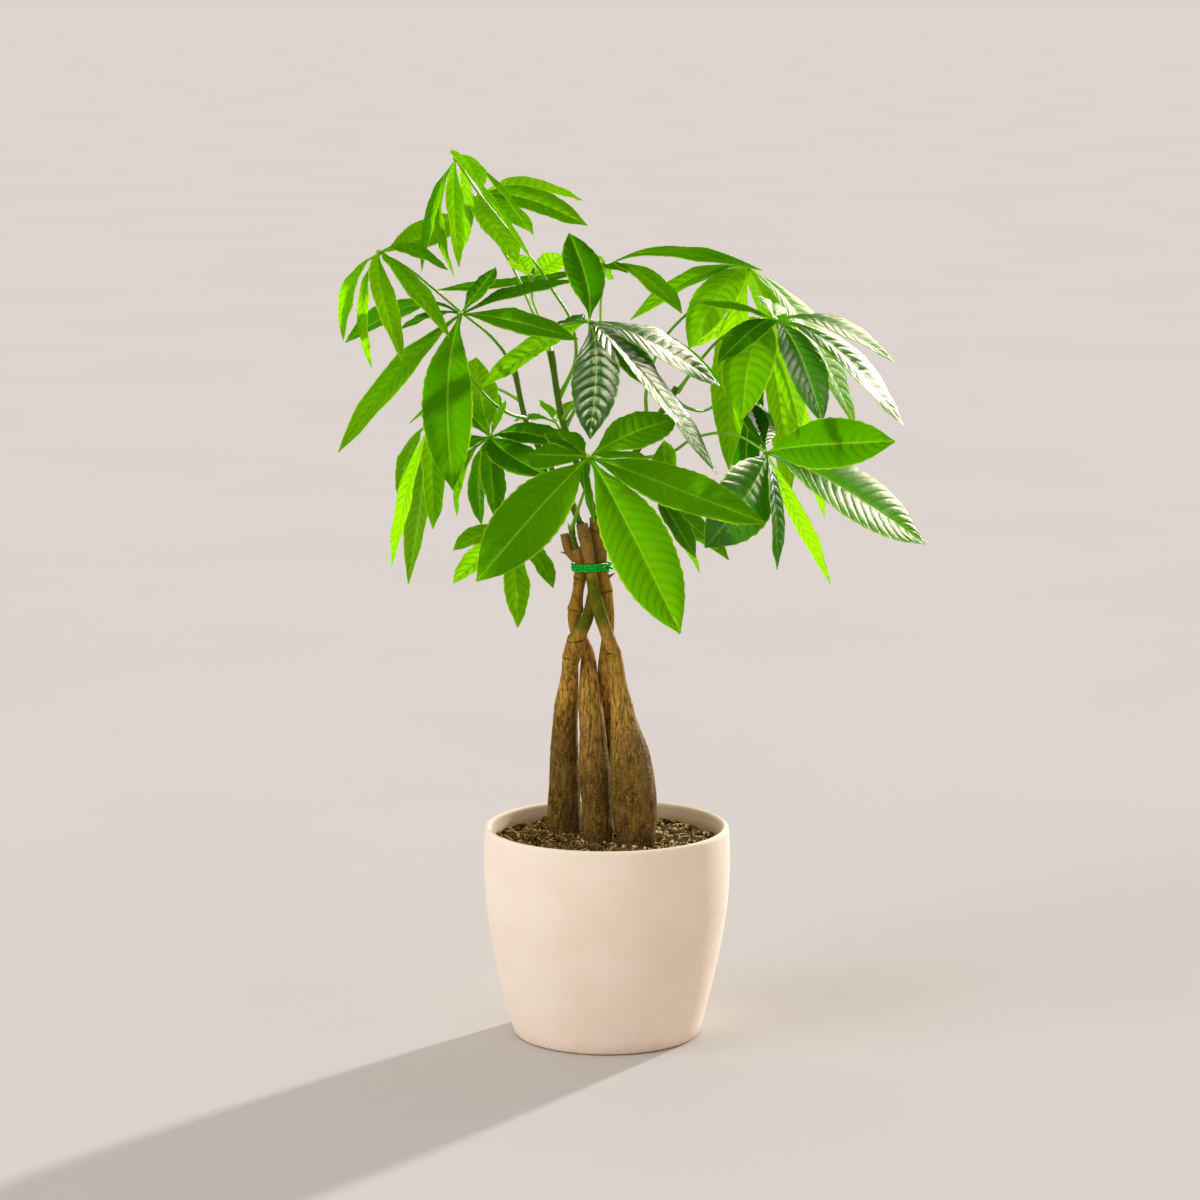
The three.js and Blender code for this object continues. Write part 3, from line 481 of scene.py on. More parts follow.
def tube(path, radii, sides, rough=None):
    """Points, faces and UVs of a closed round body along a path."""
    n = len(path)
    tangent = unit(np.gradient(path, axis=0))
    across = np.array([1.0, 0, 0])
    rings = []
    angle = np.arange(sides) / sides * 2 * np.pi
    for i in range(n):
        across = unit(across - tangent[i] * across.dot(tangent[i]))
        other = np.cross(tangent[i], across)
        r = np.full(sides, radii[i])
        if rough is not None:
            r = r + rough(path[i], np.outer(np.cos(angle), across) + np.outer(np.sin(angle), other), radii[i])
        rings.append(path[i] + np.outer(np.cos(angle) * r, across) + np.outer(np.sin(angle) * r, other))
    length = np.concatenate([[0], np.cumsum(np.linalg.norm(np.diff(path, axis=0), axis=1))])
    skin = np.stack([np.tile(angle / (2 * np.pi), n), np.repeat(length / SKIN_UNIT, sides)], 1)
    return np.concatenate(rings), ring_faces(n, sides), skin


def ball(centre, radius, flat=1.0, rows=10, sides=16):
    turn = np.linspace(0.02, np.pi - 0.02, rows)
    path = np.array([centre + np.array([0, 0, -np.cos(t) * radius * flat]) for t in turn])
    return tube(path, radius * np.sin(turn), sides)


# Leaves

def blade_outline():
    """The outline of a blade in 401 steps, with its corners rounded off."""
    steps = np.linspace(0, 1, 401)
    window = np.hanning(27)[1:-1]
    half = np.interp(steps, BLADE_OUTLINE[:, 0], BLADE_OUTLINE[:, 1])
    return steps, np.convolve(np.pad(half, 12, mode="edge"), window / window.sum(), mode="same")[12:-12]


def blade_facing(hub, along, seen, wide, bow, arc, rolled):
    """Which way the blade faces, for the width seen, and how far its middle leaves the straight line."""
    across = unit(np.cross(along, unit(EYE - hub)))
    front = unit(np.cross(across, along))
    upward = unit(np.cross(unit(np.cross(along, [0, 0, 1])), along))
    share = min(seen / wide, 1)
    rest = math.sqrt(1 - share * share)
    choices = [front * a * share + across * b * rest for a in ((1,) if rolled else (1, -1)) for b in (1, -1)]
    facing = max(choices, key=lambda choice: choice.dot(upward) * (-1 if rolled else 1))
    depth = math.sqrt(max(bow ** 2 - arc ** 2, 0)) * np.sign(facing.dot(front))
    return facing, front * depth - across * arc


def add_blade(shape, hub_table, leaflet, rolled, rng):
    x, y, z, seen, wide, bow, arc, tone_and_painted_light, slot = leaflet
    hub = placed(*hub_table)
    tip = placed(x, hub_table[1] + y, z)
    along = unit(tip - hub)
    root = hub + along * HUB_RADIUS * 0.5
    chord = tip - root
    facing, arch = blade_facing(hub, along, seen, wide, bow, arc, rolled)
    long = np.linalg.norm(chord)
    # The middle line, and the ways across and up from it
    s = np.linspace(0, 1, BLADE_ROWS + 1) ** 0.97
    u = np.linspace(-1, 1, BLADE_COLUMNS + 1)
    middle = root + np.outer(s, chord) + np.outer(np.sin(np.pi * s ** 0.8), arch)
    tangent = unit(np.gradient(middle, s, axis=0))
    side = unit(np.cross(tangent, facing))
    up = unit(np.cross(side, tangent))
    half = np.maximum(np.interp(s, *OUTLINE) * wide / 2, LEAST_HALF_WIDTH)
    S, U = np.meshgrid(s, u, indexing="ij")
    H = half[:, None]
    A = np.abs(U)
    # Pillows between the side veins, which lie where the phase is a whole number, and ripples at the edges
    phase = (S - VEIN_LEAN * A - VEIN_CURVE * A ** 2) * (round(long / VEIN_PITCH) + 2)
    open_blade = np.clip((H - 1.5) / 6, 0, 1)
    pillow = np.abs(np.sin(np.pi * phase)) ** 0.7
    quilt = QUILT * pillow * open_blade * np.clip(A * 3, 0, 1) * (1 - A ** 4)
    ripple = np.zeros_like(S)
    for k in (2, 3, 5):
        shift = rng.uniform(0, 2 * np.pi, 2)
        ripple += np.sin(2 * np.pi * k * S + np.where(U > 0, shift[0], shift[1])) / k
    ripple *= RIPPLE * A ** 3 * open_blade
    rise = A * H * BLADE_FOLD - 0.10 * H * A ** 3 + quilt + ripple
    across = U * H * (1 + 0.02 * np.sin(2 * np.pi * phase) * A)
    top = middle[:, None, :] + side[:, None, :] * across[..., None] + up[:, None, :] * rise[..., None]
    # The underside, with the midrib
    thick = BLADE_THICKNESS + (STALK_THICKNESS - BLADE_THICKNESS) * np.clip(1 - s / 0.16, 0, 1)
    midrib = 0.9 * bell(across, 0.9) * np.clip(1 - S, 0.15, 1) * open_blade
    low = top - up[:, None, :] * (thick[:, None] + midrib)[..., None]
    points = np.concatenate([top.reshape(-1, 3), low.reshape(-1, 3)])
    ahead = cad_low[1] / MM + FRONT_MARGIN - points[:, 1]
    points[:, 1] += np.where(ahead > 0, ahead - FRONT_MARGIN * (1 - np.exp(-ahead / FRONT_MARGIN)), 0)
    vein = np.stack([(U + 1) / 2, S], -1).reshape(-1, 2)
    skin = np.stack([across / SKIN_UNIT + 0.5, S * long / SKIN_UNIT], -1).reshape(-1, 2)
    # Faces of the upper side, the underside and the rims between them
    grid = np.arange(S.size).reshape(S.shape)
    under = grid + S.size
    upper = np.stack([grid[:-1, :-1], grid[:-1, 1:], grid[1:, 1:], grid[1:, :-1]], -1).reshape(-1, 4)
    lower = upper[:, ::-1] + S.size
    rims = [(grid[:, 0], under[:, 0]), (under[:, -1], grid[:, -1])]
    rims += [(under[0], grid[0]), (grid[-1], under[-1])]
    edges = [np.stack([two[:-1], two[1:], one[1:], one[:-1]], -1) for one, two in rims]
    faces = np.concatenate([upper, lower, *edges])
    slots = np.repeat([slot, 1, slot], [len(upper), len(lower), len(faces) - 2 * len(upper)])
    a, b, c = points[faces[0, :3]]
    if np.cross(b - a, c - a).dot(up[0]) < 0:
        faces = faces[:, ::-1]
    shape.add(points, faces.tolist(), np.tile(skin, (2, 1)), np.tile(vein, (2, 1)), tone_and_painted_light, slots)


def make_leaf(name, number):
    hub, petiole, leaflets = LEAVES[name]
    rng = np.random.default_rng(100 + number)
    shape = Shape()
    for count, leaflet in enumerate(leaflets):
        add_blade(shape, hub, leaflet, (name, count + 1) == ROLLED, rng)
    path, where = spline([placed(*p) for p in [hub, *petiole]], 10)
    share = where / where[-1]
    radii = PETIOLE_RADIUS + (PETIOLE_FOOT_RADIUS - PETIOLE_RADIUS) * share ** 3
    radii = radii + 0.5 * bell(share, 0.05) + 0.6 * bell(1 - share, 0.05)
    for points, faces, skin in (tube(path, radii, 12), ball(placed(*hub), HUB_RADIUS * 0.82, 0.75)):
        shape.add(points, faces, skin, slots=2)
    thing = shape.build(name + "_blades", [leaf_top, leaf_under, leaf_stalk, leaf_satin, leaf_waxed], 50)
    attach(thing, "root")
    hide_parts(name)


# Trunks, shoots and tie

def bark_rough(seed, strength=1.0):
    """Fibres, bumps and rings by which bark stands out, coarser near the soil."""
    def rough(at, around, radius):
        out = []
        for d in around:
            p = at + d * radius
            tall = Vector((p[0] * 0.16, p[1] * 0.16, p[2] * 0.028 + seed * 7.3))
            fibre = noise.fractal(tall * 2.2, 0.9, 2.1, 4)
            broad = noise.noise(Vector((p[0] * 0.05, p[1] * 0.05, p[2] * 0.03 + seed * 3.1)))
            ring = noise.noise(Vector((p[0] * 0.02, p[1] * 0.02, p[2] * 0.32 + seed))) * 0.35
            low = min(max((250 - p[2]) / 90, 0.35), 1)
            out.append((fibre * 0.75 * low + broad * 0.9 + ring * 0.6) * strength * min(radius / 8, 1.2))
        return np.array(out)
    return rough


def make_trunk(name, seed):
    rows = TRUNKS[name]
    centre = [placed(*row[:3]) for row in rows]
    foot = centre[0].copy()
    foot[2] = TRUNK_FOOT_HEIGHT
    path, where = spline([foot, *centre], TRUNK_STEPS)
    radius = np.interp(where, np.arange(len(rows) + 1), [rows[0][3], *[row[3] for row in rows]])
    for at, size, spread in NODES_ON_TRUNKS[name]:
        radius = radius + size * bell(path[:, 2] - at, spread)
    points, faces, skin = tube(path, radius, TRUNK_SIDES, bark_rough(seed))
    # A trunk that isn't listed has its green zone below its foot, so it shows none
    low, high = GREEN_BARK.get(name, (0, 1))
    green = np.clip((points[:, 2] - low) / 5, 0, 1) * np.clip((high - points[:, 2]) / 5, 0, 1)
    # The layout "vein" carries the creases round the strand, for the bark's colour
    crease = np.zeros((len(points), 2))
    for at, size, spread in NODES_ON_TRUNKS[name]:
        crease[:, 0] += bell(points[:, 2] - at + 1 + 0.9 * np.sin(skin[:, 0] * 4 * np.pi + at), 0.8)
    shape = Shape()
    shape.add(points, faces, skin, crease, green)
    if name == "trunk_middle":
        way, thick, _ = limb(STUB, 10)
        shape.add(*tube(way, thick, 20, bark_rough(9, 0.6)), 0, 0)
    for foot, tip, thick in THORNS.get(name, []):
        foot, tip = placed(*foot), placed(*tip)
        way = np.array([foot, (foot * 2 + tip) / 3, tip])
        shape.add(*tube(way, [thick, thick * 0.8, 0.2], 9), 0, 0.6)
    thing = shape.build(name + "_bark", [bark])
    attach(thing, "root")
    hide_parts(name)


def make_shoot(name, seed):
    path, radius, where = limb(SHOOTS[name], 22)
    share = where / where[-1]
    radius = radius + 0.45 * bell(share - 0.55, 0.03) + 0.4 * bell(share - 0.97, 0.04)
    shape = Shape()
    shape.add(*tube(path, radius, 20, bark_rough(seed + 20, 0.35)))
    rng = np.random.default_rng(300 + seed)
    # Buds, each turned at random
    for k in range(5 if len(path) > 50 else 2):
        i = int((0.93 - 0.09 * k) * (len(path) - 1))
        turn = rng.uniform(0, 2 * np.pi)
        out = unit(np.array([math.cos(turn), math.sin(turn), 0.9]))
        start = path[i] + out * (radius[i] - 0.6)
        bend = [start, start + out * 1.8, start + out * 3.4 + np.array([0, 0, 0.9])]
        shape.add(*tube(np.array(bend), [0.9, 0.6, 0.15], 8))
    thing = shape.build(name + "_stem", [shoot_skin])
    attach(thing, "root")
    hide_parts(name)


def make_tie():
    t = np.linspace(0, TIE_TURNS, TIE_TURNS * TIE_STEPS)
    turn = t * 2 * np.pi - 0.6
    wobble = 0.25 * np.sin(turn * 3.3 + 1)
    path = np.stack([TIE_MIDDLE[0] + np.cos(turn) * (TIE_RADII[0] + wobble),
                     TIE_MIDDLE[1] + np.sin(turn) * (TIE_RADII[1] + wobble),
                     TIE_MIDDLE[2] + TIE_RISE * t + 0.5 * np.cos(turn)], 1)
    shape = Shape()
    shape.add(*tube(path, np.full(len(path), TIE_WIRE), 12))
    for first, tail in zip((path[0], path[-1]), TIE_TAILS):
        between = (first + TIE_KNOT) / 2 + np.array([0.6, -0.4, 0])
        way, _ = spline([first, between, TIE_KNOT, np.array(tail)], 10)
        shape.add(*tube(way, np.linspace(1.0, 0.75, len(way)), 10))
    thing = shape.build("tie_wire", [tie_skin])
    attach(thing, "root")
    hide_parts("twist_tie")


# Pot and soil

def make_pot():
    walls = POT_WALL_OUTSIDE, POT_WALL_INSIDE
    outside, inside = (spline([[*p, 0] for p in wall], 8)[0][:, :2] for wall in walls)
    (middle, level), lip_height = LIP_MIDDLE, RIM_HEIGHT - LIP_MIDDLE[1]
    lip = [[middle + LIP_HALF_WIDTH * math.cos(t), level + lip_height * math.sin(t)]
           for t in np.linspace(0.08, math.pi - 0.08, 14)]
    r, z = np.concatenate([POT_FOOT_EDGE, outside, lip, inside]).T
    angle = np.arange(POT_SIDES) / POT_SIDES * 2 * np.pi
    points = [np.outer(r, np.cos(angle)), np.outer(r, np.sin(angle)), np.repeat(z[:, None], POT_SIDES, 1)]
    shape = Shape()
    shape.add(np.stack(points, -1).reshape(-1, 3), ring_faces(len(r), POT_SIDES))
    thing = shape.build("pot_shell", [pot_clay], 40)
    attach(thing, "root")
    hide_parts("pot")


def soil_level(x, y):
    broad = math.sin(x * 0.071 + 1.3) * math.cos(y * 0.063 - 0.4)
    fine = math.sin(x * 0.21 + y * 0.13) * math.cos(y * 0.19 - x * 0.07)
    lumps = noise.fractal(Vector((x * 0.09, y * 0.09, 3.7)), 0.8, 2.2, 5)
    return SOIL_HEIGHT + 2.2 * (0.6 * broad + 0.5 * fine) + (-x + y) * 0.012 + lumps * 2.6


def make_soil():
    """Rings of points: the lower edge, and the surface from the wall to the middle."""
    points = []
    for i in range(-1, SOIL_RINGS):
        r = SOIL_RADIUS * (1 - max(i, 0) / SOIL_RINGS)
        for j in range(SOIL_SIDES):
            turn = j / SOIL_SIDES * 2 * math.pi
            x, y = r * math.cos(turn), r * math.sin(turn)
            points.append([x, y, soil_level(x, y) if i >= 0 else SOIL_BOTTOM])
    shape = Shape()
    shape.add(points, ring_faces(SOIL_RINGS + 1, SOIL_SIDES))
    thing = shape.build("soil_bed", [soil_skin], 80)
    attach(thing, "root")
    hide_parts("soil")


def crumb(rng, lump, size):
    """A small irregular lump, made from the points of a ball."""
    axes = rng.uniform(0.55, 1.15, 3)
    points = lump * axes * (1 + rng.uniform(-0.22, 0.22, (len(lump), 1))) * size
    a, b = rng.uniform(0, 2 * np.pi, 2)
    turn = np.array([[math.cos(a), -math.sin(a), 0], [math.sin(a), math.cos(a), 0], [0, 0, 1]])
    tilt = np.array([[1, 0, 0], [0, math.cos(b), -math.sin(b)], [0, math.sin(b), math.cos(b)]])
    return points @ turn.T @ tilt.T


def on_soil(rng, reach):
    """A free place on the soil, clear of the trunks."""
    while True:
        r, turn = reach * math.sqrt(rng.uniform()), rng.uniform(0, 2 * math.pi)
        x, y = r * math.cos(turn), r * math.sin(turn)
        if all(math.hypot(x - cx, y - cy) > cr - 1 for cx, cy, cr in TRUNK_FEET):
            return x, y


def make_crumbs():
    """Loose crumbs, and thin pale fibres, that lie on the soil."""
    rng = np.random.default_rng(41)
    lump, faces, skin = ball(np.zeros(3), 1, 1, 4, 6)
    shape = Shape()
    for i in range(CRUMBS):
        x, y = on_soil(rng, SOIL_RADIUS - 3)
        size = 0.45 + 1.7 * rng.uniform() ** 4
        points = crumb(rng, lump, size) + np.array([x, y, soil_level(x, y) + size * 0.25])
        shape.add(points, faces, skin, tone_and_painted_light=rng.uniform())
    thing = shape.build("soil_crumbs", [crumb_skin])
    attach(thing, "root")
    shape = Shape()
    for i in range(FIBRES):
        x, y = on_soil(rng, SOIL_RADIUS - 9)
        turn, length = rng.uniform(0, 2 * math.pi), rng.uniform(3, 13)
        bend = rng.uniform(-2, 2)
        path = []
        for t in np.linspace(-0.5, 0.5, 6):
            px = x + math.cos(turn) * t * length - math.sin(turn) * bend * t * t * 4
            py = y + math.sin(turn) * t * length + math.cos(turn) * bend * t * t * 4
            path.append([px, py, soil_level(px, py) + 0.55 + rng.uniform(0, 0.5)])
        points, faces, skin = tube(np.array(path), np.full(6, rng.uniform(0.18, 0.42)), 6)
        shape.add(points, faces, skin, tone_and_painted_light=rng.uniform())
    thing = shape.build("soil_fibres", [fibre_skin])
    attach(thing, "root")


# Materials

def rgb(r, g, b):
    """A colour from 0 to 255 as seen, in linear light."""
    linear = [((c / 255 + 0.055) / 1.055) ** 2.4 if c > 10 else c / 255 / 12.92 for c in (r, g, b)]
    return (*linear, 1.0)


class Nodes:
    """A short way to build the node tree of a material or a world."""

    def __init__(self, owner):
        owner.use_nodes = True
        self.owner, self.tree = owner, owner.node_tree
        self.tree.nodes.clear()

    def add(self, kind, settings=None, **inputs):
        node = self.tree.nodes.new(kind)
        for key, value in (settings or {}).items():
            setattr(node, key, value)
        for key, value in inputs.items():
            self.set(node, key.replace("_", " "), value)
        return node

    def set(self, node, key, value):
        if isinstance(value, bpy.types.NodeSocket):
            self.tree.links.new(value, node.inputs[key])
        else:
            node.inputs[key].default_value = value

    def fill(self, node, values):
        """Sets the inputs with these numbers and gives the node back."""
        for key, value in values.items():
            self.set(node, key, value)
        return node

    def math(self, operation, *values):
        node = self.add("ShaderNodeMath", {"operation": operation})
        return self.fill(node, dict(enumerate(values))).outputs[0]

    def times(self, a, b):
        return self.math("MULTIPLY", a, b)

    def plus(self, a, b):
        return self.math("ADD", a, b)

    def minus(self, a, b):
        return self.math("SUBTRACT", a, b)

    def mix(self, factor, a, b):
        node = self.add("ShaderNodeMix", {"data_type": "RGBA"})
        return self.fill(node, {0: factor, 6: a, 7: b}).outputs[2]

    def lay(self, mask, share, under, over):
        """A colour laid over another one, as strongly as the mask times the share."""
        return self.mix(self.times(mask, share), under, over)

    def span(self, value, low, high, to_low=0.0, to_high=1.0):
        """A soft step from to_low to to_high, while the value goes from low to high."""
        node = self.add("ShaderNodeMapRange", {"interpolation_type": "SMOOTHSTEP"})
        return self.fill(node, dict(enumerate((value, low, high, to_low, to_high)))).outputs[0]

    def place(self):
        return self.add("ShaderNodeTexCoord").outputs["Object"]

    def layout(self, name):
        return self.add("ShaderNodeUVMap", {"uv_map": name}).outputs[0]

    def tone_and_painted_light(self):
        return self.add("ShaderNodeAttribute", {"attribute_name": "tone_and_painted_light"}).outputs["Fac"]

    def axis(self, vector, number):
        return self.add("ShaderNodeSeparateXYZ", Vector=vector).outputs[number]

    def scaled(self, vector, scale):
        return self.add("ShaderNodeMapping", Vector=vector, Scale=scale).outputs[0]

    def noise(self, vector, scale, detail=4.0, rough=0.55):
        return self.add("ShaderNodeTexNoise", Vector=vector, Scale=scale, Detail=detail,
                        Roughness=rough).outputs[0]

    def cells(self, vector, scale, feature="F1"):
        return self.add("ShaderNodeTexVoronoi", {"feature": feature}, Vector=vector,
                        Scale=scale).outputs["Distance"]

    def bump(self, height, strength, distance):
        return self.add("ShaderNodeBump", Height=height, Strength=strength, Distance=distance).outputs[0]

    def surface(self, colour, rough, normal, specular):
        return self.add("ShaderNodeBsdfPrincipled", Base_Color=colour, Roughness=rough, Normal=normal,
                        Specular_IOR_Level=specular).outputs[0]

    def finish(self, shader, output="ShaderNodeOutputMaterial"):
        self.add(output, Surface=shader)
        return self.owner


def leaf_material(name, specular, smooth=0.0, under=False):
    n = Nodes(bpy.data.materials.new(name))
    place = n.place()
    skin = n.layout("skin")
    vein_layout = n.layout("vein")
    across = n.math("ABSOLUTE", n.math("MULTIPLY_ADD", n.axis(vein_layout, 0), 2.0, -1.0))
    along = n.axis(vein_layout, 1)
    off = n.math("ABSOLUTE", n.minus(n.axis(skin, 0), 0.5))
    # Side veins, as many as in the blade's shape
    lean = n.plus(n.times(across, VEIN_LEAN), n.times(n.math("POWER", across, 2.0), VEIN_CURVE))
    length = n.math("DIVIDE", n.axis(skin, 1), n.math("MAXIMUM", along, 0.001))
    pairs = n.plus(n.math("ROUND", n.times(length, SKIN_UNIT / VEIN_PITCH)), 2.0)
    phase = n.times(n.minus(along, lean), pairs)
    near = n.math("ABSOLUTE", n.minus(n.math("FRACT", n.plus(phase, 0.5)), 0.5))
    vein = n.times(n.span(near, 0.0, 0.06, 1.0, 0.0), n.span(across, 0.75, 1.0, 1.0, 0.1))
    valley = n.span(near, 0.0, 0.3, 1.0, 0.0)
    middle = n.times(n.span(off, 0.004, 0.012, 1.0, 0.0), n.span(along, 0.75, 1.0, 1.0, 0.35))
    net = n.span(n.cells(skin, 55.0, "DISTANCE_TO_EDGE"), 0.0, 0.09, 1.0, 0.0)
    # Painted rim highlight: a pale edge round the blade, in the surface colour and in the glow
    painted_rim_light = n.times(n.span(across, 0.93, 0.99), n.span(along, 0.1, 0.25))
    mottle = n.noise(place, 60.0, 5.0)
    cloud = n.noise(place, 9.0, 2.0)
    line = rgb(150, 200, 40)
    # The dark and bright greens, and the two glows, are shaded and lit copies of one colour, for the painted
    # shade and painted light of each leaflet
    if under:
        dark, bright = rgb(44, 110, 0), rgb(144, 228, 2)
        glow_dark, glow_bright = (0.20, 0.50, 0.006, 1), (0.72, 0.99, 0.04, 1)
    else:
        dark, bright = rgb(18, 72, 0), rgb(138, 228, 0)
        glow_dark, glow_bright = (0.14, 0.44, 0.004, 1), (0.70, 0.99, 0.03, 1)
    # Painted light and shade: the leaflet's value, with a little random cloud, picks between the dark and the
    # bright green
    shade = n.plus(n.tone_and_painted_light(), n.times(n.minus(cloud, 0.5), 0.5))
    colour = n.lay(shade, 0.6, dark, bright)
    colour = n.lay(n.span(mottle, 0.35, 0.75), 0.28, colour, rgb(34, 92, 4))
    colour = n.lay(net, 0.12, colour, line)
    colour = n.lay(vein, 0.5 if under else 0.42, colour, line)
    colour = n.lay(middle, 0.8, colour, line)
    colour = n.lay(painted_rim_light, 0.6, colour, rgb(176, 220, 60))
    fleck = n.span(n.cells(place, 70.0), 0.02, 0.10, 1.0, 0.0)
    fleck = n.times(fleck, n.math("GREATER_THAN", n.noise(place, 14.0, 1.0), 0.56))
    colour = n.lay(fleck, 0.7, colour, rgb(200, 190, 60))
    # The light that comes through the blade, with the same painted shade and painted light per leaflet
    glow = n.mix(shade, glow_dark, glow_bright)
    glow = n.lay(valley, 0.32, glow, (0.14, 0.44, 0.004, 1))
    glow = n.lay(vein, 0.30, glow, (0.82, 1.0, 0.20, 1))
    glow = n.lay(middle, 0.6, glow, (0.66, 0.86, 0.22, 1))
    glow = n.lay(n.span(mottle, 0.3, 0.8), 0.22, glow, (0.30, 0.70, 0.02, 1))
    glow = n.lay(painted_rim_light, 0.6, glow, (0.92, 1.0, 0.2, 1))
    height = n.minus(n.times(n.noise(skin, 90.0, 2.0), 0.12), n.times(net, 0.16))
    height = n.minus(height, n.times(n.plus(vein, valley), -0.7 if under else 0.7))
    height = n.minus(height, n.times(middle, -1.2 if under else 1.0))
    normal = n.bump(height, 0.5, 0.0006)
    rough = n.span(mottle, 0.2, 0.8, 0.42 - smooth, 0.52 - smooth)
    face = n.surface(colour, rough, normal, specular)
    through = n.add("ShaderNodeBsdfTranslucent", Color=glow, Normal=normal).outputs[0]
    share = LEAF_GLOW_UNDER if under else LEAF_GLOW_TOP
    return n.finish(n.fill(n.add("ShaderNodeMixShader"), {0: share, 1: face, 2: through}).outputs[0])


def stalk_material(name, green, pale, brown):
    n = Nodes(bpy.data.materials.new(name))
    place = n.place()
    streak = n.noise(n.scaled(n.layout("skin"), (30.0, 3.0, 1.0)), 1.5)
    dots = n.cells(place, 420.0)
    colour = n.mix(n.span(streak, 0.3, 0.7), green, pale)
    colour = n.lay(n.span(n.noise(place, 40.0, 3.0), 0.55, 0.8), 0.45, colour, brown)
    colour = n.mix(n.span(dots, 0.05, 0.2, 0.35, 0.0), colour, brown)
    normal = n.bump(n.plus(n.times(streak, 0.6), n.times(dots, 0.3)), 0.35, 0.0004)
    return n.finish(n.surface(colour, 0.42, normal, 0.1))


def bark_material():
    n = Nodes(bpy.data.materials.new("bark"))
    place = n.place()
    tall = n.scaled(place, (1.0, 1.0, 0.2))
    fibre = n.noise(tall, 480.0, 8.0, 0.65)
    strand = n.noise(tall, 1300.0, 4.0, 0.6)
    patch = n.noise(place, 55.0, 6.0, 0.65)
    wide = n.noise(place, 17.0, 3.0)
    wrinkle = n.noise(n.scaled(place, (0.22, 0.22, 1.0)), 300.0, 5.0)
    # A net of ridges, bent by noise
    drift = n.add("ShaderNodeTexNoise", Vector=place, Scale=90.0).outputs["Color"]
    bent = n.fill(n.add("ShaderNodeMix", {"data_type": "VECTOR"}), {0: 0.03, 4: tall, 5: drift}).outputs[1]
    ridge = n.span(n.cells(bent, 200.0, "DISTANCE_TO_EDGE"), 0.0, 0.11, 1.0, 0.0)
    # The old bark below, and the smoother bark above, by height in metres
    height = n.axis(place, 2)
    low = n.span(n.math("MULTIPLY_ADD", wide, 0.1, height), 0.25, 0.32, 1.0, 0.0)
    high = n.span(height, 0.27, 0.34)
    colour = n.mix(n.span(fibre, 0.34, 0.66), rgb(78, 54, 14), rgb(206, 156, 72))
    colour = n.lay(n.span(patch, 0.42, 0.7), 0.6, colour, rgb(128, 108, 40))
    olive = n.mix(n.span(patch, 0.3, 0.7), rgb(122, 92, 20), rgb(180, 132, 46))
    colour = n.lay(high, 0.6, colour, olive)
    colour = n.mix(n.times(n.tone_and_painted_light(), n.span(patch, 0.35, 0.6, 0.25, 0.85)), colour, rgb(66, 90, 4))
    colour = n.mix(n.times(n.span(patch, 0.36, 0.66, 0.85, 0.35), low), colour, rgb(62, 46, 18))
    colour = n.mix(n.times(ridge, n.times(low, 0.7)), colour, rgb(176, 132, 58))
    colour = n.lay(n.span(n.noise(tall, 130.0), 0.6, 0.72), 0.35, colour, rgb(176, 154, 84))
    scar = n.times(n.span(wrinkle, 0.66, 0.74), n.math("MULTIPLY_ADD", high, 0.4, 0.3))
    colour = n.mix(scar, colour, rgb(74, 50, 18))
    crease = n.span(n.axis(n.layout("vein"), 0), 0.2, 0.9)
    crease = n.times(crease, n.span(n.noise(place, 110.0, 2.0), 0.42, 0.6))
    colour = n.lay(crease, 0.6, colour, rgb(66, 42, 14))
    # Reddish towards the tie, dark at the soil
    colour = n.mix(n.span(height, 0.36, 0.385, 0.0, 0.5), colour, rgb(146, 106, 70))
    colour = n.mix(n.span(height, 0.150, 0.172, 0.5, 0.0), colour, rgb(46, 32, 16))
    lift = n.plus(n.times(fibre, n.math("MULTIPLY_ADD", low, 0.8, 0.5)), n.times(wrinkle, 0.6))
    lift = n.plus(lift, n.times(strand, n.times(low, 0.5)))
    lift = n.plus(lift, n.times(ridge, n.times(low, 0.8)))
    lift = n.minus(lift, n.times(scar, 0.8))
    lift = n.minus(lift, n.times(crease, 1.2))
    return n.finish(n.surface(colour, n.span(patch, 0.2, 0.8, 0.6, 0.85), n.bump(lift, 1.0, 0.0016), 0.03))


def pot_material():
    n = Nodes(bpy.data.materials.new("pot_clay"))
    place = n.place()
    grain = n.noise(place, 900.0, 4.0, 0.7)
    fine = n.noise(place, 240.0, 5.0, 0.65)
    height = n.axis(place, 2)
    colour = n.mix(n.span(n.noise(place, 22.0, 6.0, 0.6), 0.3, 0.72), rgb(232, 214, 194), rgb(237, 221, 204))
    colour = n.lay(n.span(fine, 0.55, 0.75), 0.22, colour, rgb(228, 204, 182))
    pit = n.times(n.span(n.cells(place, 520.0), 0.03, 0.16, 1.0, 0.0), n.span(fine, 0.5, 0.62))
    colour = n.lay(pit, 0.25, colour, rgb(196, 160, 130))
    # Worn at the foot, and darker and yellower inside, most where the soil touches, by height and reach in
    # metres
    worn = n.times(n.span(height, 0.0, 0.012, 0.5, 0.0), n.span(fine, 0.3, 0.6))
    colour = n.mix(worn, colour, rgb(214, 180, 150))
    x, y = n.axis(place, 0), n.axis(place, 1)
    reach = n.math("SQRT", n.plus(n.times(x, x), n.times(y, y)))
    inside = n.times(n.span(reach, 0.0905, 0.0925, 1.0, 0.0), n.span(height, 0.13, 0.15))
    inside_darkening = n.math("MULTIPLY_ADD", n.span(height, 0.152, 0.160, 1.0, 0.0), 0.45, 0.25)
    colour = n.mix(n.times(inside, inside_darkening), colour, rgb(188, 142, 66))
    lift = n.minus(n.plus(n.times(grain, 0.4), fine), n.times(pit, 1.2))
    return n.finish(n.surface(colour, 0.78, n.bump(lift, 0.35, 0.0005), 0.03))


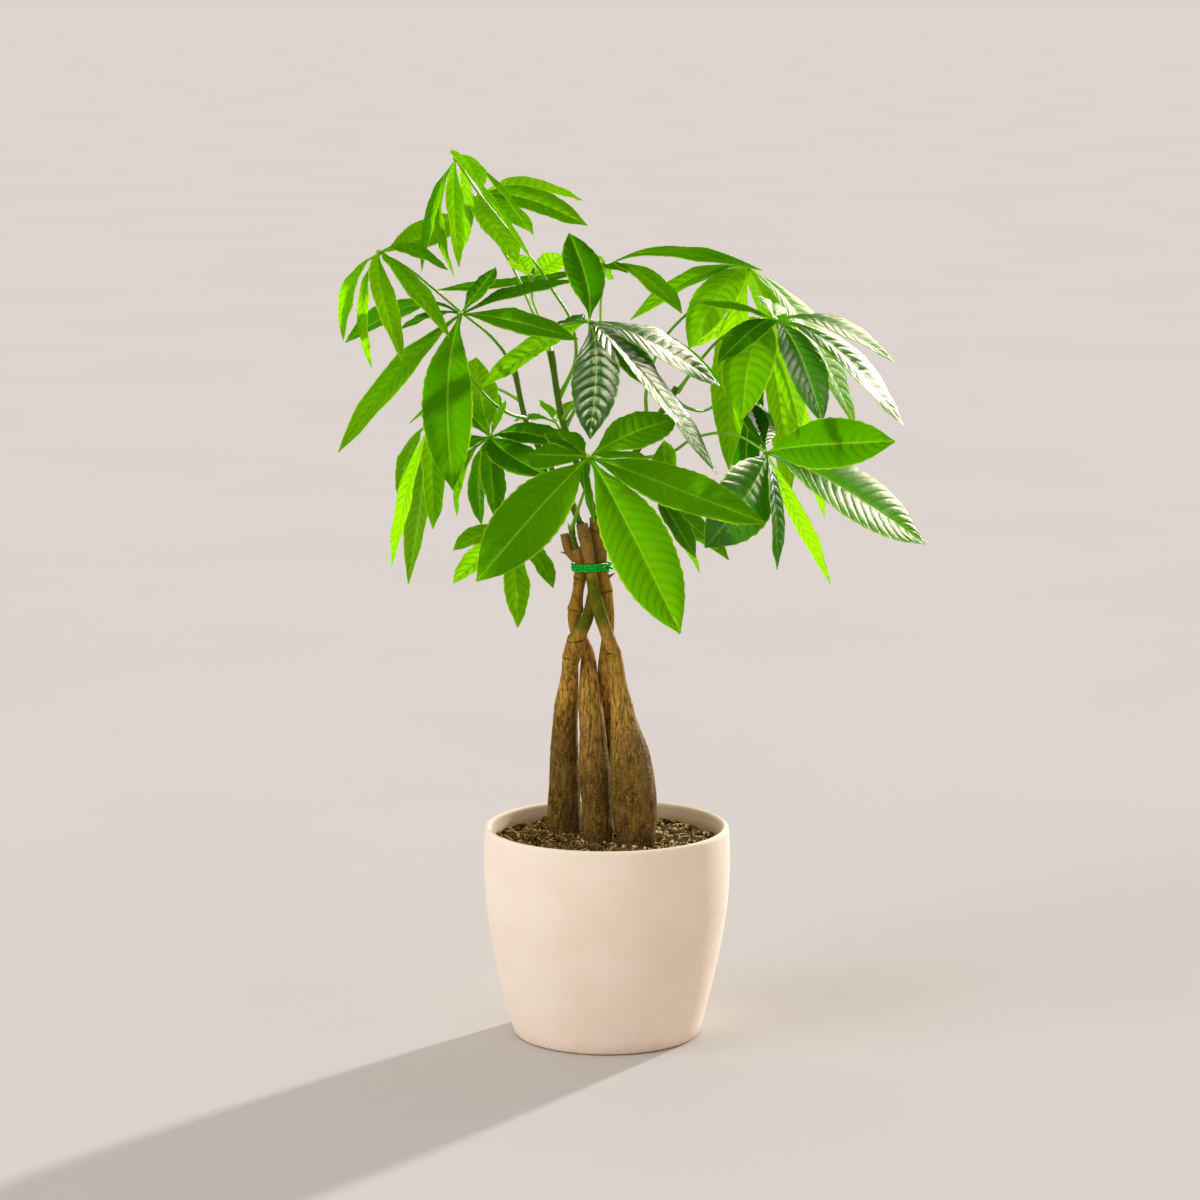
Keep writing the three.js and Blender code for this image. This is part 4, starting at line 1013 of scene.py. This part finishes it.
def soil_material():
    n = Nodes(bpy.data.materials.new("soil"))
    place = n.place()
    coarse = n.noise(place, 160.0, 8.0, 0.7)
    fine = n.noise(place, 700.0, 5.0, 0.7)
    colour = n.mix(n.span(coarse, 0.3, 0.7), rgb(38, 26, 10), rgb(132, 102, 52))
    colour = n.mix(n.span(fine, 0.6, 0.72, 0.0, 0.75), colour, rgb(206, 172, 104))
    # Paler to the right: painted sunlight on the right of the soil
    painted_sunlight = n.math("MULTIPLY_ADD", coarse, 0.04, n.axis(place, 0))
    colour = n.mix(n.span(painted_sunlight, 0.0, 0.07, 0.0, 0.15), colour, rgb(214, 184, 124))
    return n.finish(n.surface(colour, 0.92, n.bump(n.plus(coarse, n.times(fine, 0.5)), 1.0, 0.003), 0.0))


def crumb_material(name, dark, pale):
    n = Nodes(bpy.data.materials.new(name))
    place = n.place()
    tone_and_painted_light = n.tone_and_painted_light()
    grain = n.noise(place, 900.0)
    colour = n.mix(n.span(tone_and_painted_light, 0.35, 1.0), dark, pale)
    colour = n.lay(n.span(grain, 0.4, 0.7), 0.5, colour, dark)
    # Paler to the right: painted sunlight on the lighter crumbs and fibres there
    painted_sunlight = n.span(n.math("MULTIPLY_ADD", grain, 0.04, n.axis(place, 0)), 0.0, 0.07, 0.0, 0.95)
    colour = n.mix(n.times(painted_sunlight, n.span(tone_and_painted_light, 0.35, 0.6)), colour, rgb(255, 236, 182))
    return n.finish(n.surface(colour, 0.9, n.bump(grain, 0.8, 0.001), 0.0))


def tie_material():
    n = Nodes(bpy.data.materials.new("tie_skin"))
    wave = n.noise(n.place(), 700.0, 3.0)
    colour = n.mix(n.span(wave, 0.3, 0.7), rgb(0, 110, 24), rgb(6, 205, 50))
    return n.finish(n.surface(colour, 0.3, n.bump(wave, 0.5, 0.0005), 0.12))


def floor_material():
    n = Nodes(bpy.data.materials.new("floor_paint"))
    place = n.place()
    colour = n.mix(n.span(n.noise(place, 1.5, 3.0), 0.2, 0.8), *FLOOR_COLOURS)
    return n.finish(n.surface(colour, 0.9, n.bump(n.noise(place, 300.0, 3.0), 0.08, 0.0004), 0.0))


# Scene

def add_light(kind, name, place, target, colour, **settings):
    data = bpy.data.lights.new(name, kind)
    data.color = colour
    for key, value in settings.items():
        setattr(data, key, value)
    lamp = bpy.data.objects.new(name, data)
    lamp.location = place
    lamp.rotation_euler = (Vector(target) - lamp.location).to_track_quat("-Z", "Y").to_euler()
    bpy.context.scene.collection.objects.link(lamp)
    return lamp


def make_lights():
    for name, place, strength, spread, colour in SUNS:
        sun = add_light("SUN", name, place, SUN_TARGET, colour, energy=strength, angle=math.radians(spread))
        sun.visible_glossy = name != "fill"
    # Soft panels that only show as the sheen of the leaves
    for name, place, size, power in PANELS:
        panel = add_light("AREA", name, place, PANEL_TARGET, PANEL_COLOUR, shape="DISK", size=size,
                          energy=power * size ** 2)
        panel.visible_diffuse = False
        panel.visible_transmission = False
    # Soft light from all round, with less of it seen and reflected
    n = Nodes(bpy.data.worlds.new("studio"))
    ray = n.add("ShaderNodeLightPath").outputs
    level = n.math("MULTIPLY_ADD", ray["Is Camera Ray"], SKY_SEEN - SKY_LIGHT, SKY_LIGHT)
    level = n.math("MULTIPLY_ADD", ray["Is Glossy Ray"], SKY_REFLECTED - SKY_LIGHT, level)
    sky = n.add("ShaderNodeBackground", Color=SKY_COLOUR, Strength=level).outputs[0]
    bpy.context.scene.world = n.finish(sky, "ShaderNodeOutputWorld")


def make_camera():
    data = bpy.data.cameras.new("camera")
    data.lens = CAMERA_LENS
    data.sensor_width = 36
    data.clip_end = 6000
    camera = bpy.data.objects.new("camera", data)
    camera.location = EYE * MM
    camera.rotation_euler = (math.radians(90 - CAMERA_PITCH), 0, 0)
    bpy.context.scene.collection.objects.link(camera)
    bpy.context.scene.camera = camera
    bpy.context.scene.view_settings.view_transform = "Standard"


def make_floor():
    rows = ((-FLOOR_REACH, 0), (FLOOR_REACH, 0), (FLOOR_FAR, FLOOR_RISE))
    shape = Shape()
    shape.add([[x, y, z] for y, z in rows for x in (-FLOOR_REACH, FLOOR_REACH)], [[0, 1, 3, 2], [2, 3, 5, 4]])
    floor = shape.build("floor", [floor_material()], 1)
    floor.location.z = -FLOOR_DROP * MM


OUTLINE = blade_outline()
leaf_top = leaf_material("leaf_top", specular=0.0)
leaf_satin = leaf_material("leaf_satin", specular=0.3, smooth=0.1)
leaf_waxed = leaf_material("leaf_waxed", specular=1.0, smooth=0.2)
leaf_under = leaf_material("leaf_under", specular=0.12, under=True)
leaf_stalk = stalk_material("leaf_stalk", rgb(86, 152, 8), rgb(150, 205, 30), rgb(112, 130, 20))
shoot_skin = stalk_material("shoot_skin", rgb(64, 96, 10), rgb(104, 132, 22), rgb(86, 66, 20))
bark = bark_material()
pot_clay = pot_material()
soil_skin = soil_material()
crumb_skin = crumb_material("crumb", rgb(54, 40, 18), rgb(214, 178, 108))
fibre_skin = crumb_material("fibre", rgb(150, 112, 60), rgb(214, 182, 124))
tie_skin = tie_material()

for number, leaf_name in enumerate(LEAVES):
    make_leaf(leaf_name, number)
for number, trunk_name in enumerate(TRUNKS):
    make_trunk(trunk_name, number + 1)
for number, shoot_name in enumerate(SHOOTS):
    make_shoot(shoot_name, number + 1)
make_tie()
make_pot()
make_soil()
make_crumbs()
make_floor()
make_lights()
make_camera()
